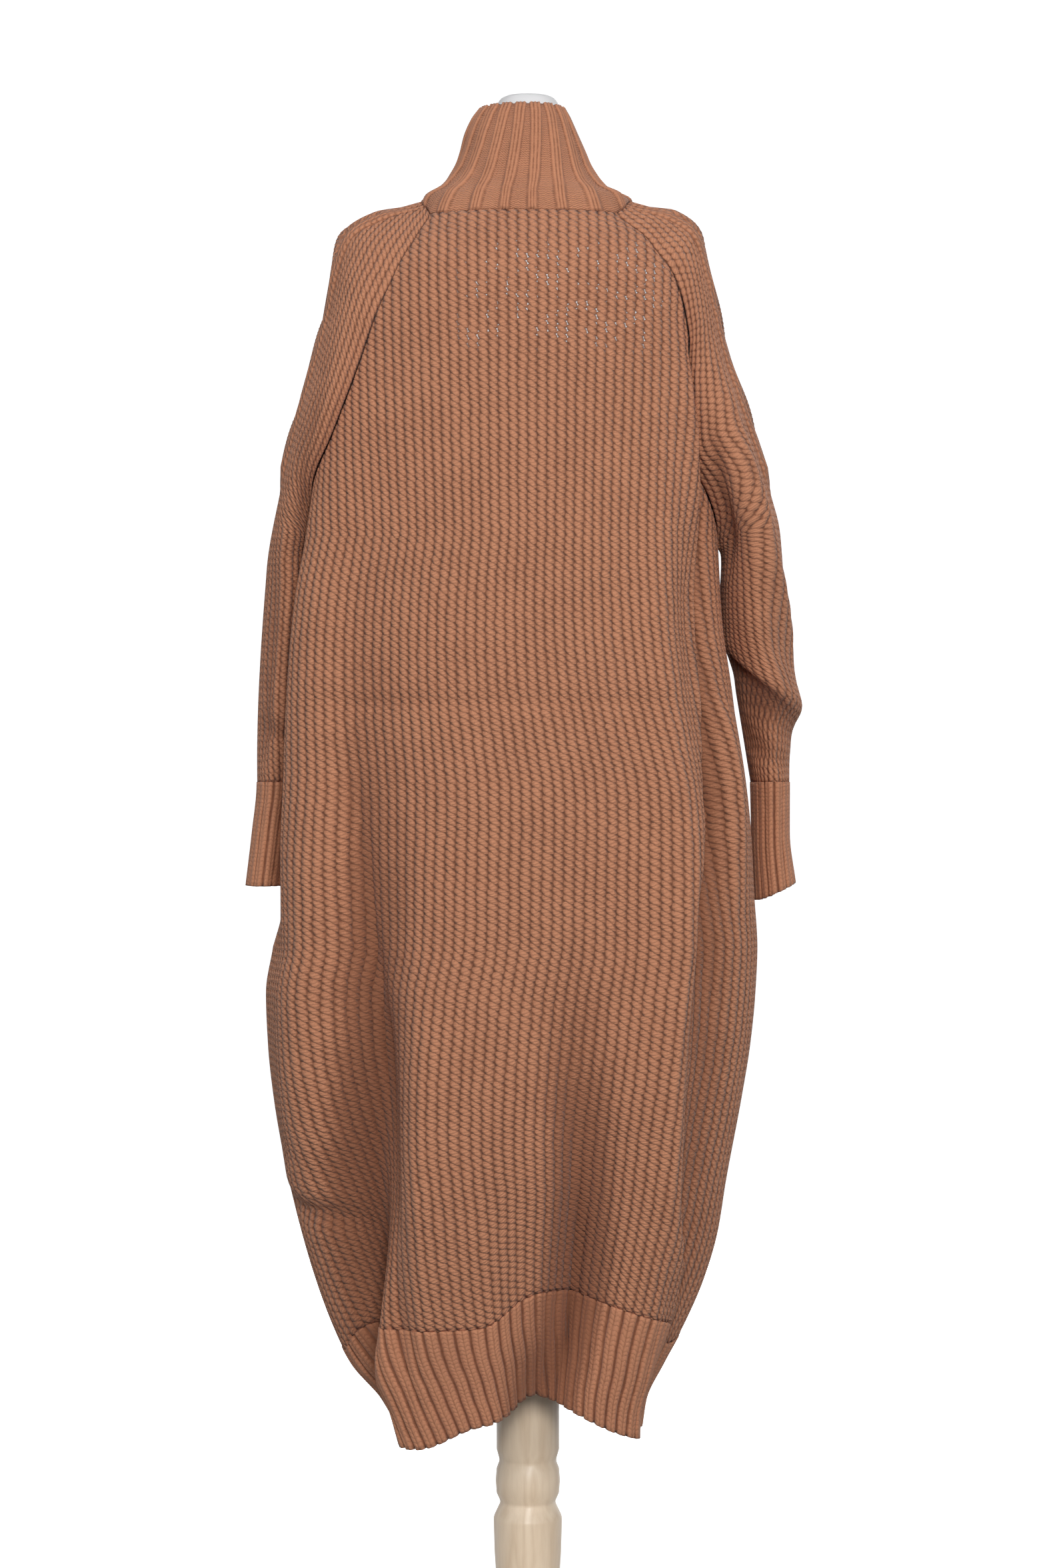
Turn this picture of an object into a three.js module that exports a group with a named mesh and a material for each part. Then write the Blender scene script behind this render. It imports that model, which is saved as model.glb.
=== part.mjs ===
// A long, oversize sweater dress in heavy rib knit, worn by a limbless dress form on a turned
// wooden stand. The dress has a funnel neck, raglan sleeves with a crossed cable down the upper
// arm, and ribbed cuffs and hem. Every knitted piece is a thin wall, made from rings that are
// worked out from the tables below, and the pieces stand a hair apart where they are linked.
//
// Sizes are millimetres. +Z is up, the stand's foot is centred on the origin, the back of the
// dress faces -Y and the wearer's right is at +X.

import * as THREE from 'three';

const WALL = 3;
const SEAM_GAP = 0.4;
const TRIM_SEAM_GAP = 0.7;
const NECK_SEAM_GAP = 0.8;
const RADIANS = Math.PI / 180;

// The body below the arms, from the hem's lower edge up, and the yoke above them: how far its
// section reaches to the wearer's left and right, to the back and to the front.
const BODY_SECTIONS = [
  { z: 314, left: 129, right: 112, back: 122, front: 104 },
  { z: 345, left: 146, right: 117, back: 128, front: 109 },
  { z: 380, left: 175, right: 134, back: 134, front: 115 },
  { z: 420, left: 194, right: 155, back: 142, front: 123 },
  { z: 465, left: 210, right: 174, back: 148, front: 131 },
  { z: 510, left: 223, right: 187, back: 153, front: 138 },
  { z: 560, left: 235, right: 195, back: 158, front: 145 },
  { z: 640, left: 250, right: 210, back: 162, front: 152 },
  { z: 695, left: 256, right: 219, back: 163, front: 155 },
  { z: 745, left: 258, right: 224, back: 163, front: 157 },
  { z: 790, left: 251, right: 226, back: 162, front: 158 },
  { z: 840, left: 245, right: 223, back: 161, front: 158 },
  { z: 900, left: 243, right: 220, back: 158, front: 158 },
  { z: 950, left: 243, right: 215, back: 156, front: 158 },
  { z: 1030, left: 242, right: 202, back: 151, front: 156 },
  { z: 1105, left: 240, right: 189, back: 146, front: 153 },
  { z: 1190, left: 234, right: 184, back: 139, front: 146 },
  { z: 1281, left: 220, right: 180, back: 130, front: 136 },
  { z: 1366, left: 202, right: 178, back: 122, front: 124 },
  { z: 1406, left: 192, right: 177, back: 118, front: 117 },
  { z: 1442, left: 178, right: 173, back: 111, front: 107 },
  { z: 1474, left: 152, right: 157, back: 100, front: 96 },
  { z: 1503, left: 116, right: 112, back: 84, front: 84 },
];
const SECTION_SQUARENESS = 0.8;

// The largest folds. Each follows a path round the body: `at` is its angle from the centre back,
// positive towards the wearer's right, `before` and `after` are its half-widths on the two sides of
// that path in degrees, and `depth` is how far it stands out of the section, or sinks into it where
// it is negative.
const BODY_FOLDS = [
  [
    // The deep fall of cloth between the left side and the left half of the back.
    { z: 314, at: -72, before: 12, after: 7, depth: -16 },
    { z: 375, at: -61, before: 13, after: 7, depth: -30 },
    { z: 430, at: -51, before: 13, after: 8, depth: -42 },
    { z: 500, at: -43, before: 13, after: 8, depth: -46 },
    { z: 560, at: -38, before: 13, after: 9, depth: -43 },
    { z: 640, at: -34, before: 13, after: 10, depth: -35 },
    { z: 720, at: -31, before: 13, after: 11, depth: -27 },
    { z: 870, at: -33, before: 14, after: 14, depth: -16 },
    { z: 1030, at: -36, before: 15, after: 15, depth: -9 },
    { z: 1190, at: -36, before: 15, after: 15, depth: -4 },
    { z: 1300, at: -36, before: 15, after: 15, depth: 0 },
  ],
  [
    // The left half of the back swings out at the hem.
    { z: 314, at: -46, before: 12, after: 20, depth: 27 },
    { z: 375, at: -42, before: 12, after: 19, depth: 22 },
    { z: 430, at: -37, before: 11, after: 18, depth: 15 },
    { z: 500, at: -28, before: 10, after: 17, depth: 10 },
    { z: 720, at: -18, before: 12, after: 15, depth: 4 },
    { z: 1000, at: -18, before: 14, after: 14, depth: 0 },
  ],
  [
    // The fold that parts the two halves of the back at the hem.
    { z: 314, at: 0, before: 7, after: 14, depth: -52 },
    { z: 375, at: 4, before: 7, after: 13, depth: -44 },
    { z: 430, at: 7, before: 7, after: 13, depth: -34 },
    { z: 500, at: 9, before: 8, after: 13, depth: -26 },
    { z: 560, at: 10, before: 8, after: 12, depth: -19 },
    { z: 640, at: 9, before: 9, after: 12, depth: -12 },
    { z: 720, at: 8, before: 10, after: 12, depth: -7 },
    { z: 900, at: 6, before: 12, after: 12, depth: 0 },
  ],
  [
    // The standing edge down the right of the back.
    { z: 314, at: 47, before: 17, after: 14, depth: 20 },
    { z: 375, at: 43, before: 16, after: 12, depth: 17 },
    { z: 430, at: 39, before: 14, after: 10, depth: 13 },
    { z: 560, at: 36, before: 13, after: 8, depth: 11 },
    { z: 800, at: 35, before: 13, after: 8, depth: 9 },
    { z: 1100, at: 38, before: 12, after: 7, depth: 9 },
    { z: 1300, at: 43, before: 12, after: 8, depth: 5 },
    { z: 1400, at: 45, before: 11, after: 10, depth: 0 },
  ],
  [
    // The fall of cloth beyond that edge, deepest behind the right arm.
    { z: 375, at: 67, before: 10, after: 13, depth: -7 },
    { z: 500, at: 59, before: 9, after: 12, depth: -13 },
    { z: 720, at: 53, before: 9, after: 11, depth: -15 },
    { z: 870, at: 51, before: 8, after: 10, depth: -18 },
    { z: 950, at: 51, before: 8, after: 10, depth: -22 },
    { z: 1120, at: 55, before: 8, after: 10, depth: -21 },
    { z: 1200, at: 59, before: 8, after: 10, depth: -12 },
    { z: 1290, at: 63, before: 8, after: 10, depth: 0 },
  ],
  [
    // The back stands out beside the left arm.
    { z: 790, at: -64, before: 10, after: 16, depth: 0 },
    { z: 840, at: -64, before: 10, after: 16, depth: 10 },
    { z: 900, at: -64, before: 10, after: 16, depth: 16 },
    { z: 1010, at: -63, before: 10, after: 16, depth: 18 },
    { z: 1130, at: -61, before: 9, after: 15, depth: 16 },
    { z: 1172, at: -60, before: 9, after: 14, depth: 13 },
    { z: 1217, at: -59, before: 9, after: 14, depth: 8 },
    { z: 1262, at: -55, before: 9, after: 13, depth: 3 },
    { z: 1330, at: -52, before: 9, after: 12, depth: 0 },
  ],
  [
    // The hollow in the left side, where the sleeve hangs.
    { z: 790, at: -104, before: 24, after: 26, depth: 0 },
    { z: 850, at: -104, before: 24, after: 26, depth: -16 },
    { z: 950, at: -104, before: 26, after: 27, depth: -33 },
    { z: 1070, at: -104, before: 26, after: 28, depth: -42 },
    { z: 1170, at: -100, before: 26, after: 29, depth: -40 },
    { z: 1215, at: -96, before: 26, after: 27, depth: -28 },
    { z: 1290, at: -90, before: 24, after: 18, depth: 0 },
  ],
  [
    // Soft falls in the front, to the left, to the right and at its centre.
    { z: 314, at: -136, before: 15, after: 13, depth: 14 },
    { z: 430, at: -138, before: 14, after: 12, depth: 12 },
    { z: 720, at: -140, before: 14, after: 14, depth: 7 },
    { z: 1050, at: -142, before: 14, after: 14, depth: 0 },
  ],
  [
    { z: 314, at: 138, before: 13, after: 15, depth: 14 },
    { z: 430, at: 140, before: 12, after: 14, depth: 12 },
    { z: 720, at: 142, before: 14, after: 14, depth: 8 },
    { z: 1080, at: 144, before: 14, after: 14, depth: 0 },
  ],
  [
    { z: 314, at: 176, before: 11, after: 14, depth: -24 },
    { z: 430, at: 174, before: 11, after: 14, depth: -18 },
    { z: 640, at: 172, before: 13, after: 13, depth: -9 },
    { z: 900, at: 172, before: 13, after: 13, depth: 0 },
  ],
];

// How far the hem band's lower edge and its upper seam are lifted in the folds, and how far they
// sag at the sides. The lift dies out above the band.
const HEM_LIFTS = [
  { at: 2, before: 6, after: 32, low: 42, high: 36 },
  { at: -8, before: 22, after: 7, low: 22, high: 2 },
  { at: -38, before: 14, after: 12, low: -5, high: 0 },
  { at: -84, before: 30, after: 14, low: 0, high: -36 },
  { at: 74, before: 12, after: 30, low: 2, high: -26 },
  { at: 178, before: 30, after: 30, low: 22, high: 20 },
];
const HEM_LOW_Z = 316;
const HEM_SEAM_Z = 430;
const LIFT_ENDS_Z = 690;

// The raglan seams, from the underarm up to the neck: the heights of the body's rows there, each
// seam's angle from the centre back or centre front, and how far the front row dips in its middle.
const RAGLAN = [
  {
    step: 0, back_z: 1190, left_back: 90, right_back: 90,
    front_z: 1190, left_front: 90, right_front: 90, dip: 0,
  },
  {
    step: 1, back_z: 1237, left_back: 70, right_back: 73,
    front_z: 1235, left_front: 72, right_front: 74, dip: 0,
  },
  {
    step: 2, back_z: 1281, left_back: 57, right_back: 63,
    front_z: 1278, left_front: 61, right_front: 63, dip: 0,
  },
  {
    step: 3, back_z: 1324, left_back: 52, right_back: 60,
    front_z: 1320, left_front: 55, right_front: 57, dip: 0,
  },
  {
    step: 4, back_z: 1366, left_back: 48, right_back: 59,
    front_z: 1362, left_front: 50, right_front: 52, dip: 0,
  },
  {
    step: 5, back_z: 1406, left_back: 45, right_back: 56,
    front_z: 1400, left_front: 47, right_front: 48, dip: 1,
  },
  {
    step: 6, back_z: 1442, left_back: 42, right_back: 51,
    front_z: 1436, left_front: 44, right_front: 45, dip: 5,
  },
  {
    step: 7, back_z: 1474, left_back: 43, right_back: 45,
    front_z: 1468, left_front: 44, right_front: 44, dip: 13,
  },
  {
    step: 8, back_z: 1505, left_back: 52, right_back: 47,
    front_z: 1499, left_front: 50, right_front: 48, dip: 25,
  },
];
const RAGLAN_STEPS = 8;

// The sleeve caps. `out_x` and `out_z` follow the outer line of the shoulder and upper arm,
// `sweep` is how far the row turns round the arm on each side of that line, in degrees,
// `half_depth` is half its front-to-back size and `y` its centre. Where `reach` is below 1 the row
// turns before it gets to its seams, and runs to them in a point.
const LEFT_CAP = [
  { step: 0, out_x: 251, out_z: 1210, sweep: 178, half_depth: 76, y: 14, reach: 0.8 },
  { step: 1, out_x: 239, out_z: 1262, sweep: 160, half_depth: 82, y: 8, reach: 0.92 },
  { step: 2, out_x: 224, out_z: 1317, sweep: 140, half_depth: 88, y: 2, reach: 1 },
  { step: 3, out_x: 208, out_z: 1370, sweep: 124, half_depth: 91, y: 0, reach: 1 },
  { step: 4, out_x: 197, out_z: 1416, sweep: 112, half_depth: 90, y: 0, reach: 1 },
  { step: 5, out_x: 190, out_z: 1458, sweep: 102, half_depth: 84, y: 0, reach: 1 },
  { step: 6, out_x: 181, out_z: 1491, sweep: 92, half_depth: 74, y: 0, reach: 1 },
  { step: 7, out_x: 149, out_z: 1512, sweep: 76, half_depth: 70, y: 0, reach: 1 },
  { step: 8, out_x: 105, out_z: 1525, sweep: 62, half_depth: 60, y: 0, reach: 1 },
];
const RIGHT_CAP = [
  { step: 0, out_x: 247, out_z: 1212, sweep: 178, half_depth: 78, y: 10, reach: 0.85 },
  { step: 1, out_x: 231, out_z: 1266, sweep: 160, half_depth: 84, y: 5, reach: 0.92 },
  { step: 2, out_x: 213, out_z: 1320, sweep: 140, half_depth: 89, y: 0, reach: 1 },
  { step: 3, out_x: 195, out_z: 1372, sweep: 124, half_depth: 92, y: 0, reach: 1 },
  { step: 4, out_x: 184, out_z: 1418, sweep: 112, half_depth: 90, y: 0, reach: 1 },
  { step: 5, out_x: 175, out_z: 1460, sweep: 102, half_depth: 84, y: 0, reach: 1 },
  { step: 6, out_x: 167, out_z: 1492, sweep: 92, half_depth: 74, y: 0, reach: 1 },
  { step: 7, out_x: 138, out_z: 1514, sweep: 76, half_depth: 70, y: 0, reach: 1 },
  { step: 8, out_x: 102, out_z: 1525, sweep: 62, half_depth: 60, y: 0, reach: 1 },
];

// The sleeves below the underarm, down to the cuff seam and the cuff's edge: the outer line,
// half the thickness across, half the front-to-back depth, the centre in y, and how far a row
// rises from its middle to its outer side.
const LEFT_ARM = [
  { z: 849, out_x: 281, half: 19, half_depth: 53, y: 36, tilt: 0 },
  { z: 900, out_x: 275, half: 19, half_depth: 52, y: 37, tilt: 0 },
  { z: 952, out_x: 270, half: 20, half_depth: 57, y: 38, tilt: 0 },
  { z: 985, out_x: 270, half: 24, half_depth: 67, y: 38, tilt: -2 },
  { z: 1025, out_x: 269, half: 25, half_depth: 72, y: 37, tilt: 0 },
  { z: 1080, out_x: 266, half: 25, half_depth: 74, y: 33, tilt: 0 },
  { z: 1130, out_x: 262, half: 25, half_depth: 75, y: 26, tilt: 0 },
  { z: 1172, out_x: 258, half: 22, half_depth: 75, y: 20, tilt: 0 },
];
const RIGHT_ARM = [
  { z: 843, out_x: 267, half: 20, half_depth: 53, y: 40, tilt: 9 },
  { z: 900, out_x: 261, half: 18, half_depth: 52, y: 40, tilt: 2 },
  { z: 952, out_x: 261, half: 18.5, half_depth: 58, y: 40, tilt: 0 },
  { z: 985, out_x: 262, half: 20, half_depth: 60, y: 42, tilt: -5 },
  { z: 1014, out_x: 266, half: 23, half_depth: 62, y: 43, tilt: -13 },
  { z: 1040, out_x: 272, half: 28, half_depth: 78, y: 35, tilt: -18 },
  { z: 1080, out_x: 262, half: 29, half_depth: 80, y: 30, tilt: -12 },
  { z: 1120, out_x: 256, half: 29, half_depth: 81, y: 22, tilt: -4 },
  { z: 1172, out_x: 252, half: 28, half_depth: 80, y: 14, tilt: 0 },
];
const CUFF_SEAM_Z = 952;

// The cable: two pairs of cords that cross into diamonds down the outside of the upper arm.
const CABLE = { top_z: 1492, end_z: 1236, diamond: 92, swing: 36, cord_half: 9, height: 3.2 };

// Ribs: the collar's and the trims' counts, and how far they stand out of the wall.
const COLLAR_RIBS = { count: 19, height: 2.2 };
const HEM_RIBS = { per_panel: 42, height: 2 };
const CUFF_RIBS = { count: 20, height: 1.8 };

// The collar from the neck seam up. It closes in over the form's rounded top.
const COLLAR_SECTIONS = [
  { z: 1500, left: 104, right: 101, back: 84, front: 86 },
  { z: 1526, left: 99, right: 96, back: 76, front: 78 },
  { z: 1537, left: 84, right: 75, back: 71, front: 73 },
  { z: 1555, left: 73, right: 64, back: 65, front: 67 },
  { z: 1574, left: 66, right: 56, back: 60, front: 62 },
  { z: 1590, left: 62, right: 49, back: 55, front: 57 },
  { z: 1606, left: 55, right: 42, back: 47, front: 49 },
  { z: 1617, left: 47, right: 36, back: 40, front: 42 },
];
const COLLAR_SQUARENESS = 0.92;
const COLLAR_TOP_Z = 1617;
const COLLAR_RISES = [0, 0.12, 0.3, 0.53, 0.77, 1];

// The dress form, from its flat bottom to the rounded top of its neck.
const FORM_SECTIONS = [
  { z: 872, half: 150, back: 96, front: 86 },
  { z: 880, half: 160, back: 104, front: 94 },
  { z: 940, half: 168, back: 110, front: 100 },
  { z: 1010, half: 162, back: 106, front: 100 },
  { z: 1080, half: 138, back: 88, front: 96 },
  { z: 1145, half: 122, back: 78, front: 92 },
  { z: 1205, half: 130, back: 84, front: 100 },
  { z: 1270, half: 148, back: 96, front: 118 },
  { z: 1330, half: 160, back: 102, front: 114 },
  { z: 1390, half: 166, back: 103, front: 98 },
  { z: 1440, half: 167, back: 97, front: 88 },
  { z: 1475, half: 164, back: 84, front: 78 },
  { z: 1500, half: 151, back: 62, front: 55 },
  { z: 1512, half: 118, back: 48, front: 42 },
  { z: 1522, half: 84, back: 51, front: 51 },
  { z: 1534, half: 64, back: 55, front: 55 },
  { z: 1556, half: 55, back: 55, front: 55 },
  { z: 1575, half: 50, back: 52, front: 52 },
  { z: 1590, half: 44, back: 46, front: 46 },
  { z: 1604, half: 37, back: 38, front: 38 },
  { z: 1617, half: 28, back: 29, front: 29 },
  { z: 1628, half: 16, back: 16, front: 16 },
];
const FORM_SQUARENESS = 0.88;
const FORM_BOTTOM_Z = 872;
const FORM_TOP_Z = 1633;
const FORM_COLUMNS = 24;

// The stand: a turned post on a round foot. Each outline runs from its lower end up.
const BASE_PROFILE = [
  { radius: 189, z: 0 },
  { radius: 195, z: 6 },
  { radius: 195, z: 14 },
  { radius: 187, z: 22 },
  { radius: 171, z: 27 },
  { radius: 70, z: 30 },
];
const POST_PROFILE = [
  { radius: 46, z: 30.4 },
  { radius: 50, z: 37.4 },
  { radius: 47, z: 45.4 },
  { radius: 34, z: 52.4 },
  { radius: 27, z: 74.4 },
  { radius: 29, z: 130 },
  { radius: 33, z: 190 },
  { radius: 34, z: 225 },
  { radius: 27, z: 240 },
  { radius: 31, z: 249 },
  { radius: 32, z: 261 },
  { radius: 31, z: 273 },
  { radius: 28, z: 281 },
  { radius: 31, z: 292 },
  { radius: 31, z: 871.6 },
];
const LATHE_SEGMENTS = 24;

const KNIT_COLOUR = 0xa8714f;
const FORM_COLOUR = 0xf2f1ee;
const WOOD_COLOUR = 0xd9c3a0;

// A smooth value out of a table whose rows rise in `key`. It passes through every row, and never
// swings past a high or low one.
function smooth(rows, key, name, at) {
  const last = rows.length - 1;
  if (at <= rows[0][key]) return rows[0][name];
  if (at >= rows[last][key]) return rows[last][name];
  const slopeOf = (i) => (rows[i + 1][name] - rows[i][name]) / (rows[i + 1][key] - rows[i][key]);
  const tangent = (i) => {
    if (i === 0) return slopeOf(0);
    if (i === last) return slopeOf(last - 1);
    const before = slopeOf(i - 1);
    const after = slopeOf(i);
    return before * after <= 0 ? 0 : (2 * before * after) / (before + after);
  };
  let i = 0;
  while (rows[i + 1][key] < at) i += 1;
  const span = rows[i + 1][key] - rows[i][key];
  const t = (at - rows[i][key]) / span;
  const rise = t * t * (3 - 2 * t);
  return rows[i][name] * (1 - rise) + rows[i + 1][name] * rise
    + span * (t * (1 - t) * (1 - t) * tangent(i) - t * t * (1 - t) * tangent(i + 1));
}

const wrapped = (degrees) => ((((degrees + 180) % 360) + 360) % 360) - 180;
const bell = (x) => Math.exp(-x * x);

// A rounded-square section: x and y at an angle from the centre back.
function ovalPoint(reach, squareness, degrees) {
  const across = Math.sin(degrees * RADIANS);
  const along = Math.cos(degrees * RADIANS);
  const side = across > 0 ? reach.right : -reach.left;
  const end = along > 0 ? -reach.back : reach.front;
  return new THREE.Vector2(
    side * Math.abs(across) ** squareness,
    end * Math.abs(along) ** squareness,
  );
}

function reachAt(rows, z) {
  return {
    left: smooth(rows, 'z', 'left', z),
    right: smooth(rows, 'z', 'right', z),
    back: smooth(rows, 'z', 'back', z),
    front: smooth(rows, 'z', 'front', z),
  };
}

function foldDepth(z, degrees) {
  let depth = 0;
  for (const fold of BODY_FOLDS) {
    const off = wrapped(degrees - smooth(fold, 'z', 'at', z));
    const half = smooth(fold, 'z', off < 0 ? 'before' : 'after', z);
    depth += smooth(fold, 'z', 'depth', z) * bell(off / half);
  }
  return depth;
}

// The body's outer face at a height and an angle, with its folds. A fold moves a point along the
// section's own normal, taken from a point a little before it and one a little after.
const NORMAL_STEP = 1.5;

function bodyPoint(z, degrees) {
  const reach = reachAt(BODY_SECTIONS, z);
  const here = ovalPoint(reach, SECTION_SQUARENESS, degrees);
  const before = ovalPoint(reach, SECTION_SQUARENESS, degrees - NORMAL_STEP);
  const after = ovalPoint(reach, SECTION_SQUARENESS, degrees + NORMAL_STEP);
  const tangent = after.sub(before).normalize();
  const depth = foldDepth(z, degrees);
  return new THREE.Vector3(here.x + tangent.y * depth, here.y - tangent.x * depth, z);
}

function hemLift(z, degrees) {
  const inBand = THREE.MathUtils.clamp((z - HEM_LOW_Z) / (HEM_SEAM_Z - HEM_LOW_Z), 0, 1);
  const fade = THREE.MathUtils.smoothstep(LIFT_ENDS_Z - z, 0, LIFT_ENDS_Z - HEM_SEAM_Z);
  let lift = 0;
  for (const row of HEM_LIFTS) {
    const off = wrapped(degrees - row.at);
    lift += THREE.MathUtils.lerp(row.low, row.high, inBand) * bell(off / (off < 0 ? row.before : row.after));
  }
  return lift * fade;
}

// Angles from one angle to another that cut the curve into equal lengths.
function evenAngles(pointAt, from, to, count) {
  const samples = 180;
  const lengths = [0];
  let previous = pointAt(from);
  for (let i = 1; i <= samples; i += 1) {
    const point = pointAt(from + ((to - from) * i) / samples);
    lengths.push(lengths[i - 1] + point.distanceTo(previous));
    previous = point;
  }
  const angles = [];
  let i = 0;
  for (let j = 0; j <= count; j += 1) {
    const target = (lengths[samples] * j) / count;
    while (i < samples - 1 && lengths[i + 1] < target) i += 1;
    const share = (target - lengths[i]) / (lengths[i + 1] - lengths[i]);
    angles.push(from + ((to - from) * (i + share)) / samples);
  }
  return angles;
}

// One row of the body between two angles. `dip` lowers the middle of a front row.
function bodyRow(z, from, to, count, dip = 0) {
  const middle = (from + to) / 2;
  const half = (to - from) / 2;
  return evenAngles((a) => bodyPoint(z, a), from, to, count).map((angle) => {
    const off = (angle - middle) / half;
    const height = z - dip * (1 - off * off);
    return bodyPoint(height + hemLift(z, angle), angle);
  });
}

function pointOn(line, share) {
  const at = share * (line.length - 1);
  const i = Math.min(Math.floor(at), line.length - 2);
  return line[i].clone().lerp(line[i + 1], at - i);
}

// Outward normals of a grid of points whose columns run anticlockwise, seen from above, and whose
// rows run upwards.
function normalsOf(grid, closed) {
  const rows = grid.length;
  const cols = grid[0].length;
  return grid.map((row, r) => row.map((_, c) => {
    const left = closed ? row[(c - 1 + cols) % cols] : row[Math.max(c - 1, 0)];
    const right = closed ? row[(c + 1) % cols] : row[Math.min(c + 1, cols - 1)];
    const below = grid[Math.max(r - 1, 0)][c];
    const above = grid[Math.min(r + 1, rows - 1)][c];
    return right.clone().sub(left).cross(above.clone().sub(below)).normalize();
  }));
}

// A wall: its outer points, the same points moved in along the normals, and rims between them.
// `relief` moves the outer points out, and leaves the inside plain.
function wallGeometry(grid, normals, closed, relief = () => 0) {
  const rows = grid.length;
  const cols = grid[0].length;
  const positions = [];
  for (let r = 0; r < rows; r += 1) {
    for (let c = 0; c < cols; c += 1) {
      const out = grid[r][c].clone().addScaledVector(normals[r][c], relief(r, c));
      positions.push(out.x, out.y, out.z);
    }
  }
  for (let r = 0; r < rows; r += 1) {
    for (let c = 0; c < cols; c += 1) {
      const inside = grid[r][c].clone().addScaledVector(normals[r][c], -WALL);
      positions.push(inside.x, inside.y, inside.z);
    }
  }
  const outer = (r, c) => r * cols + (c % cols);
  const inner = (r, c) => rows * cols + outer(r, c);
  const index = [];
  const quad = (a, b, c, d) => index.push(a, b, c, a, c, d);
  const steps = closed ? cols : cols - 1;
  for (let r = 0; r < rows - 1; r += 1) {
    for (let c = 0; c < steps; c += 1) {
      quad(outer(r, c), outer(r, c + 1), outer(r + 1, c + 1), outer(r + 1, c));
      quad(inner(r, c), inner(r + 1, c), inner(r + 1, c + 1), inner(r, c + 1));
    }
  }
  for (let c = 0; c < steps; c += 1) {
    quad(outer(0, c + 1), outer(0, c), inner(0, c), inner(0, c + 1));
    quad(outer(rows - 1, c), outer(rows - 1, c + 1), inner(rows - 1, c + 1), inner(rows - 1, c));
  }
  if (!closed) {
    for (let r = 0; r < rows - 1; r += 1) {
      quad(outer(r, 0), outer(r + 1, 0), inner(r + 1, 0), inner(r, 0));
      quad(outer(r, cols - 1), inner(r, cols - 1), inner(r + 1, cols - 1), outer(r + 1, cols - 1));
    }
  }
  const geometry = new THREE.BufferGeometry();
  geometry.setAttribute('position', new THREE.Float32BufferAttribute(positions, 3));
  geometry.setIndex(index);
  return geometry;
}

// Moves a row or column of edge points a set distance towards their neighbours inside the piece.
function pullIn(edge, inside, distance) {
  edge.forEach((point, i) => {
    const towards = inside[i].clone().sub(point);
    point.addScaledVector(towards.normalize(), distance);
  });
}
const columnOf = (grid, c) => grid.map((row) => row[c]);

// The body's rows: their heights below the arms, then the raglan steps up to the neck.
const LOWER_ROWS_Z = [HEM_SEAM_Z, 468, 510, 560, 615, 675, 740, 810, 880, 945, 1005, 1065, 1130];
const BACK_COLUMNS = 28;
const FRONT_COLUMNS = 24;

function backGrid() {
  const lower = LOWER_ROWS_Z.map((z) => bodyRow(z, -90, 90, BACK_COLUMNS));
  const upper = RAGLAN.map((row) => bodyRow(row.back_z, -row.left_back, row.right_back, BACK_COLUMNS));
  return [...lower, ...upper];
}

function frontGrid() {
  const lower = LOWER_ROWS_Z.map((z) => bodyRow(z, 90, 270, FRONT_COLUMNS));
  const upper = RAGLAN.map((row) => bodyRow(
    row.front_z, 180 - row.right_front, 180 + row.left_front, FRONT_COLUMNS, row.dip));
  return [...lower, ...upper];
}

// Where a sleeve's rows turn round the arm: -1 is the first seam, 0 the outer line and 1 the
// second seam. They lie closer together on the outside of the arm, where the cable is.
const SLEEVE_TURNS = [
  -1, -0.9, -0.8, -0.7, -0.61, -0.53, -0.46, -0.4, -0.34, -0.28, -0.22, -0.165, -0.11, -0.055, 0,
  0.055, 0.11, 0.165, 0.22, 0.28, 0.34, 0.4, 0.46, 0.53, 0.61, 0.7, 0.8, 0.9, 1,
];
const ARM_ROWS_Z = [CUFF_SEAM_Z, 985, 1014, 1026, 1040, 1058, 1084, 1112, 1142, 1172];
const CAP_STEPS = [0, 1, 2, 2.5, 3, 3.5, 4, 4.5, 5, 5.5, 6, 6.5, 7, 7.5, 8];

// One row of a sleeve. `side` is -1 on the wearer's left and 1 on the right, and a row runs from
// the front to the back on the left, and from the back to the front on the right.
function armRow(side, arm, z, turns) {
  const half = smooth(arm, 'z', 'half', z);
  const depth = smooth(arm, 'z', 'half_depth', z);
  const outX = smooth(arm, 'z', 'out_x', z);
  const y = smooth(arm, 'z', 'y', z);
  const tilt = smooth(arm, 'z', 'tilt', z);
  return turns.map((turn) => {
    const angle = Math.PI * turn;
    return new THREE.Vector3(
      side * (outX - half * (1 - Math.cos(angle))),
      y + side * depth * Math.sin(angle),
      z + tilt * Math.cos(angle));
  });
}

// What a cap row still misses its seams by is spread over its turn with a high power, so that it
// shows only near them. A row that turns early (a `reach` below 1) takes a higher power still.
const MISS_POWER = 3;
const EARLY_TURN_POWER = 20;

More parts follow.
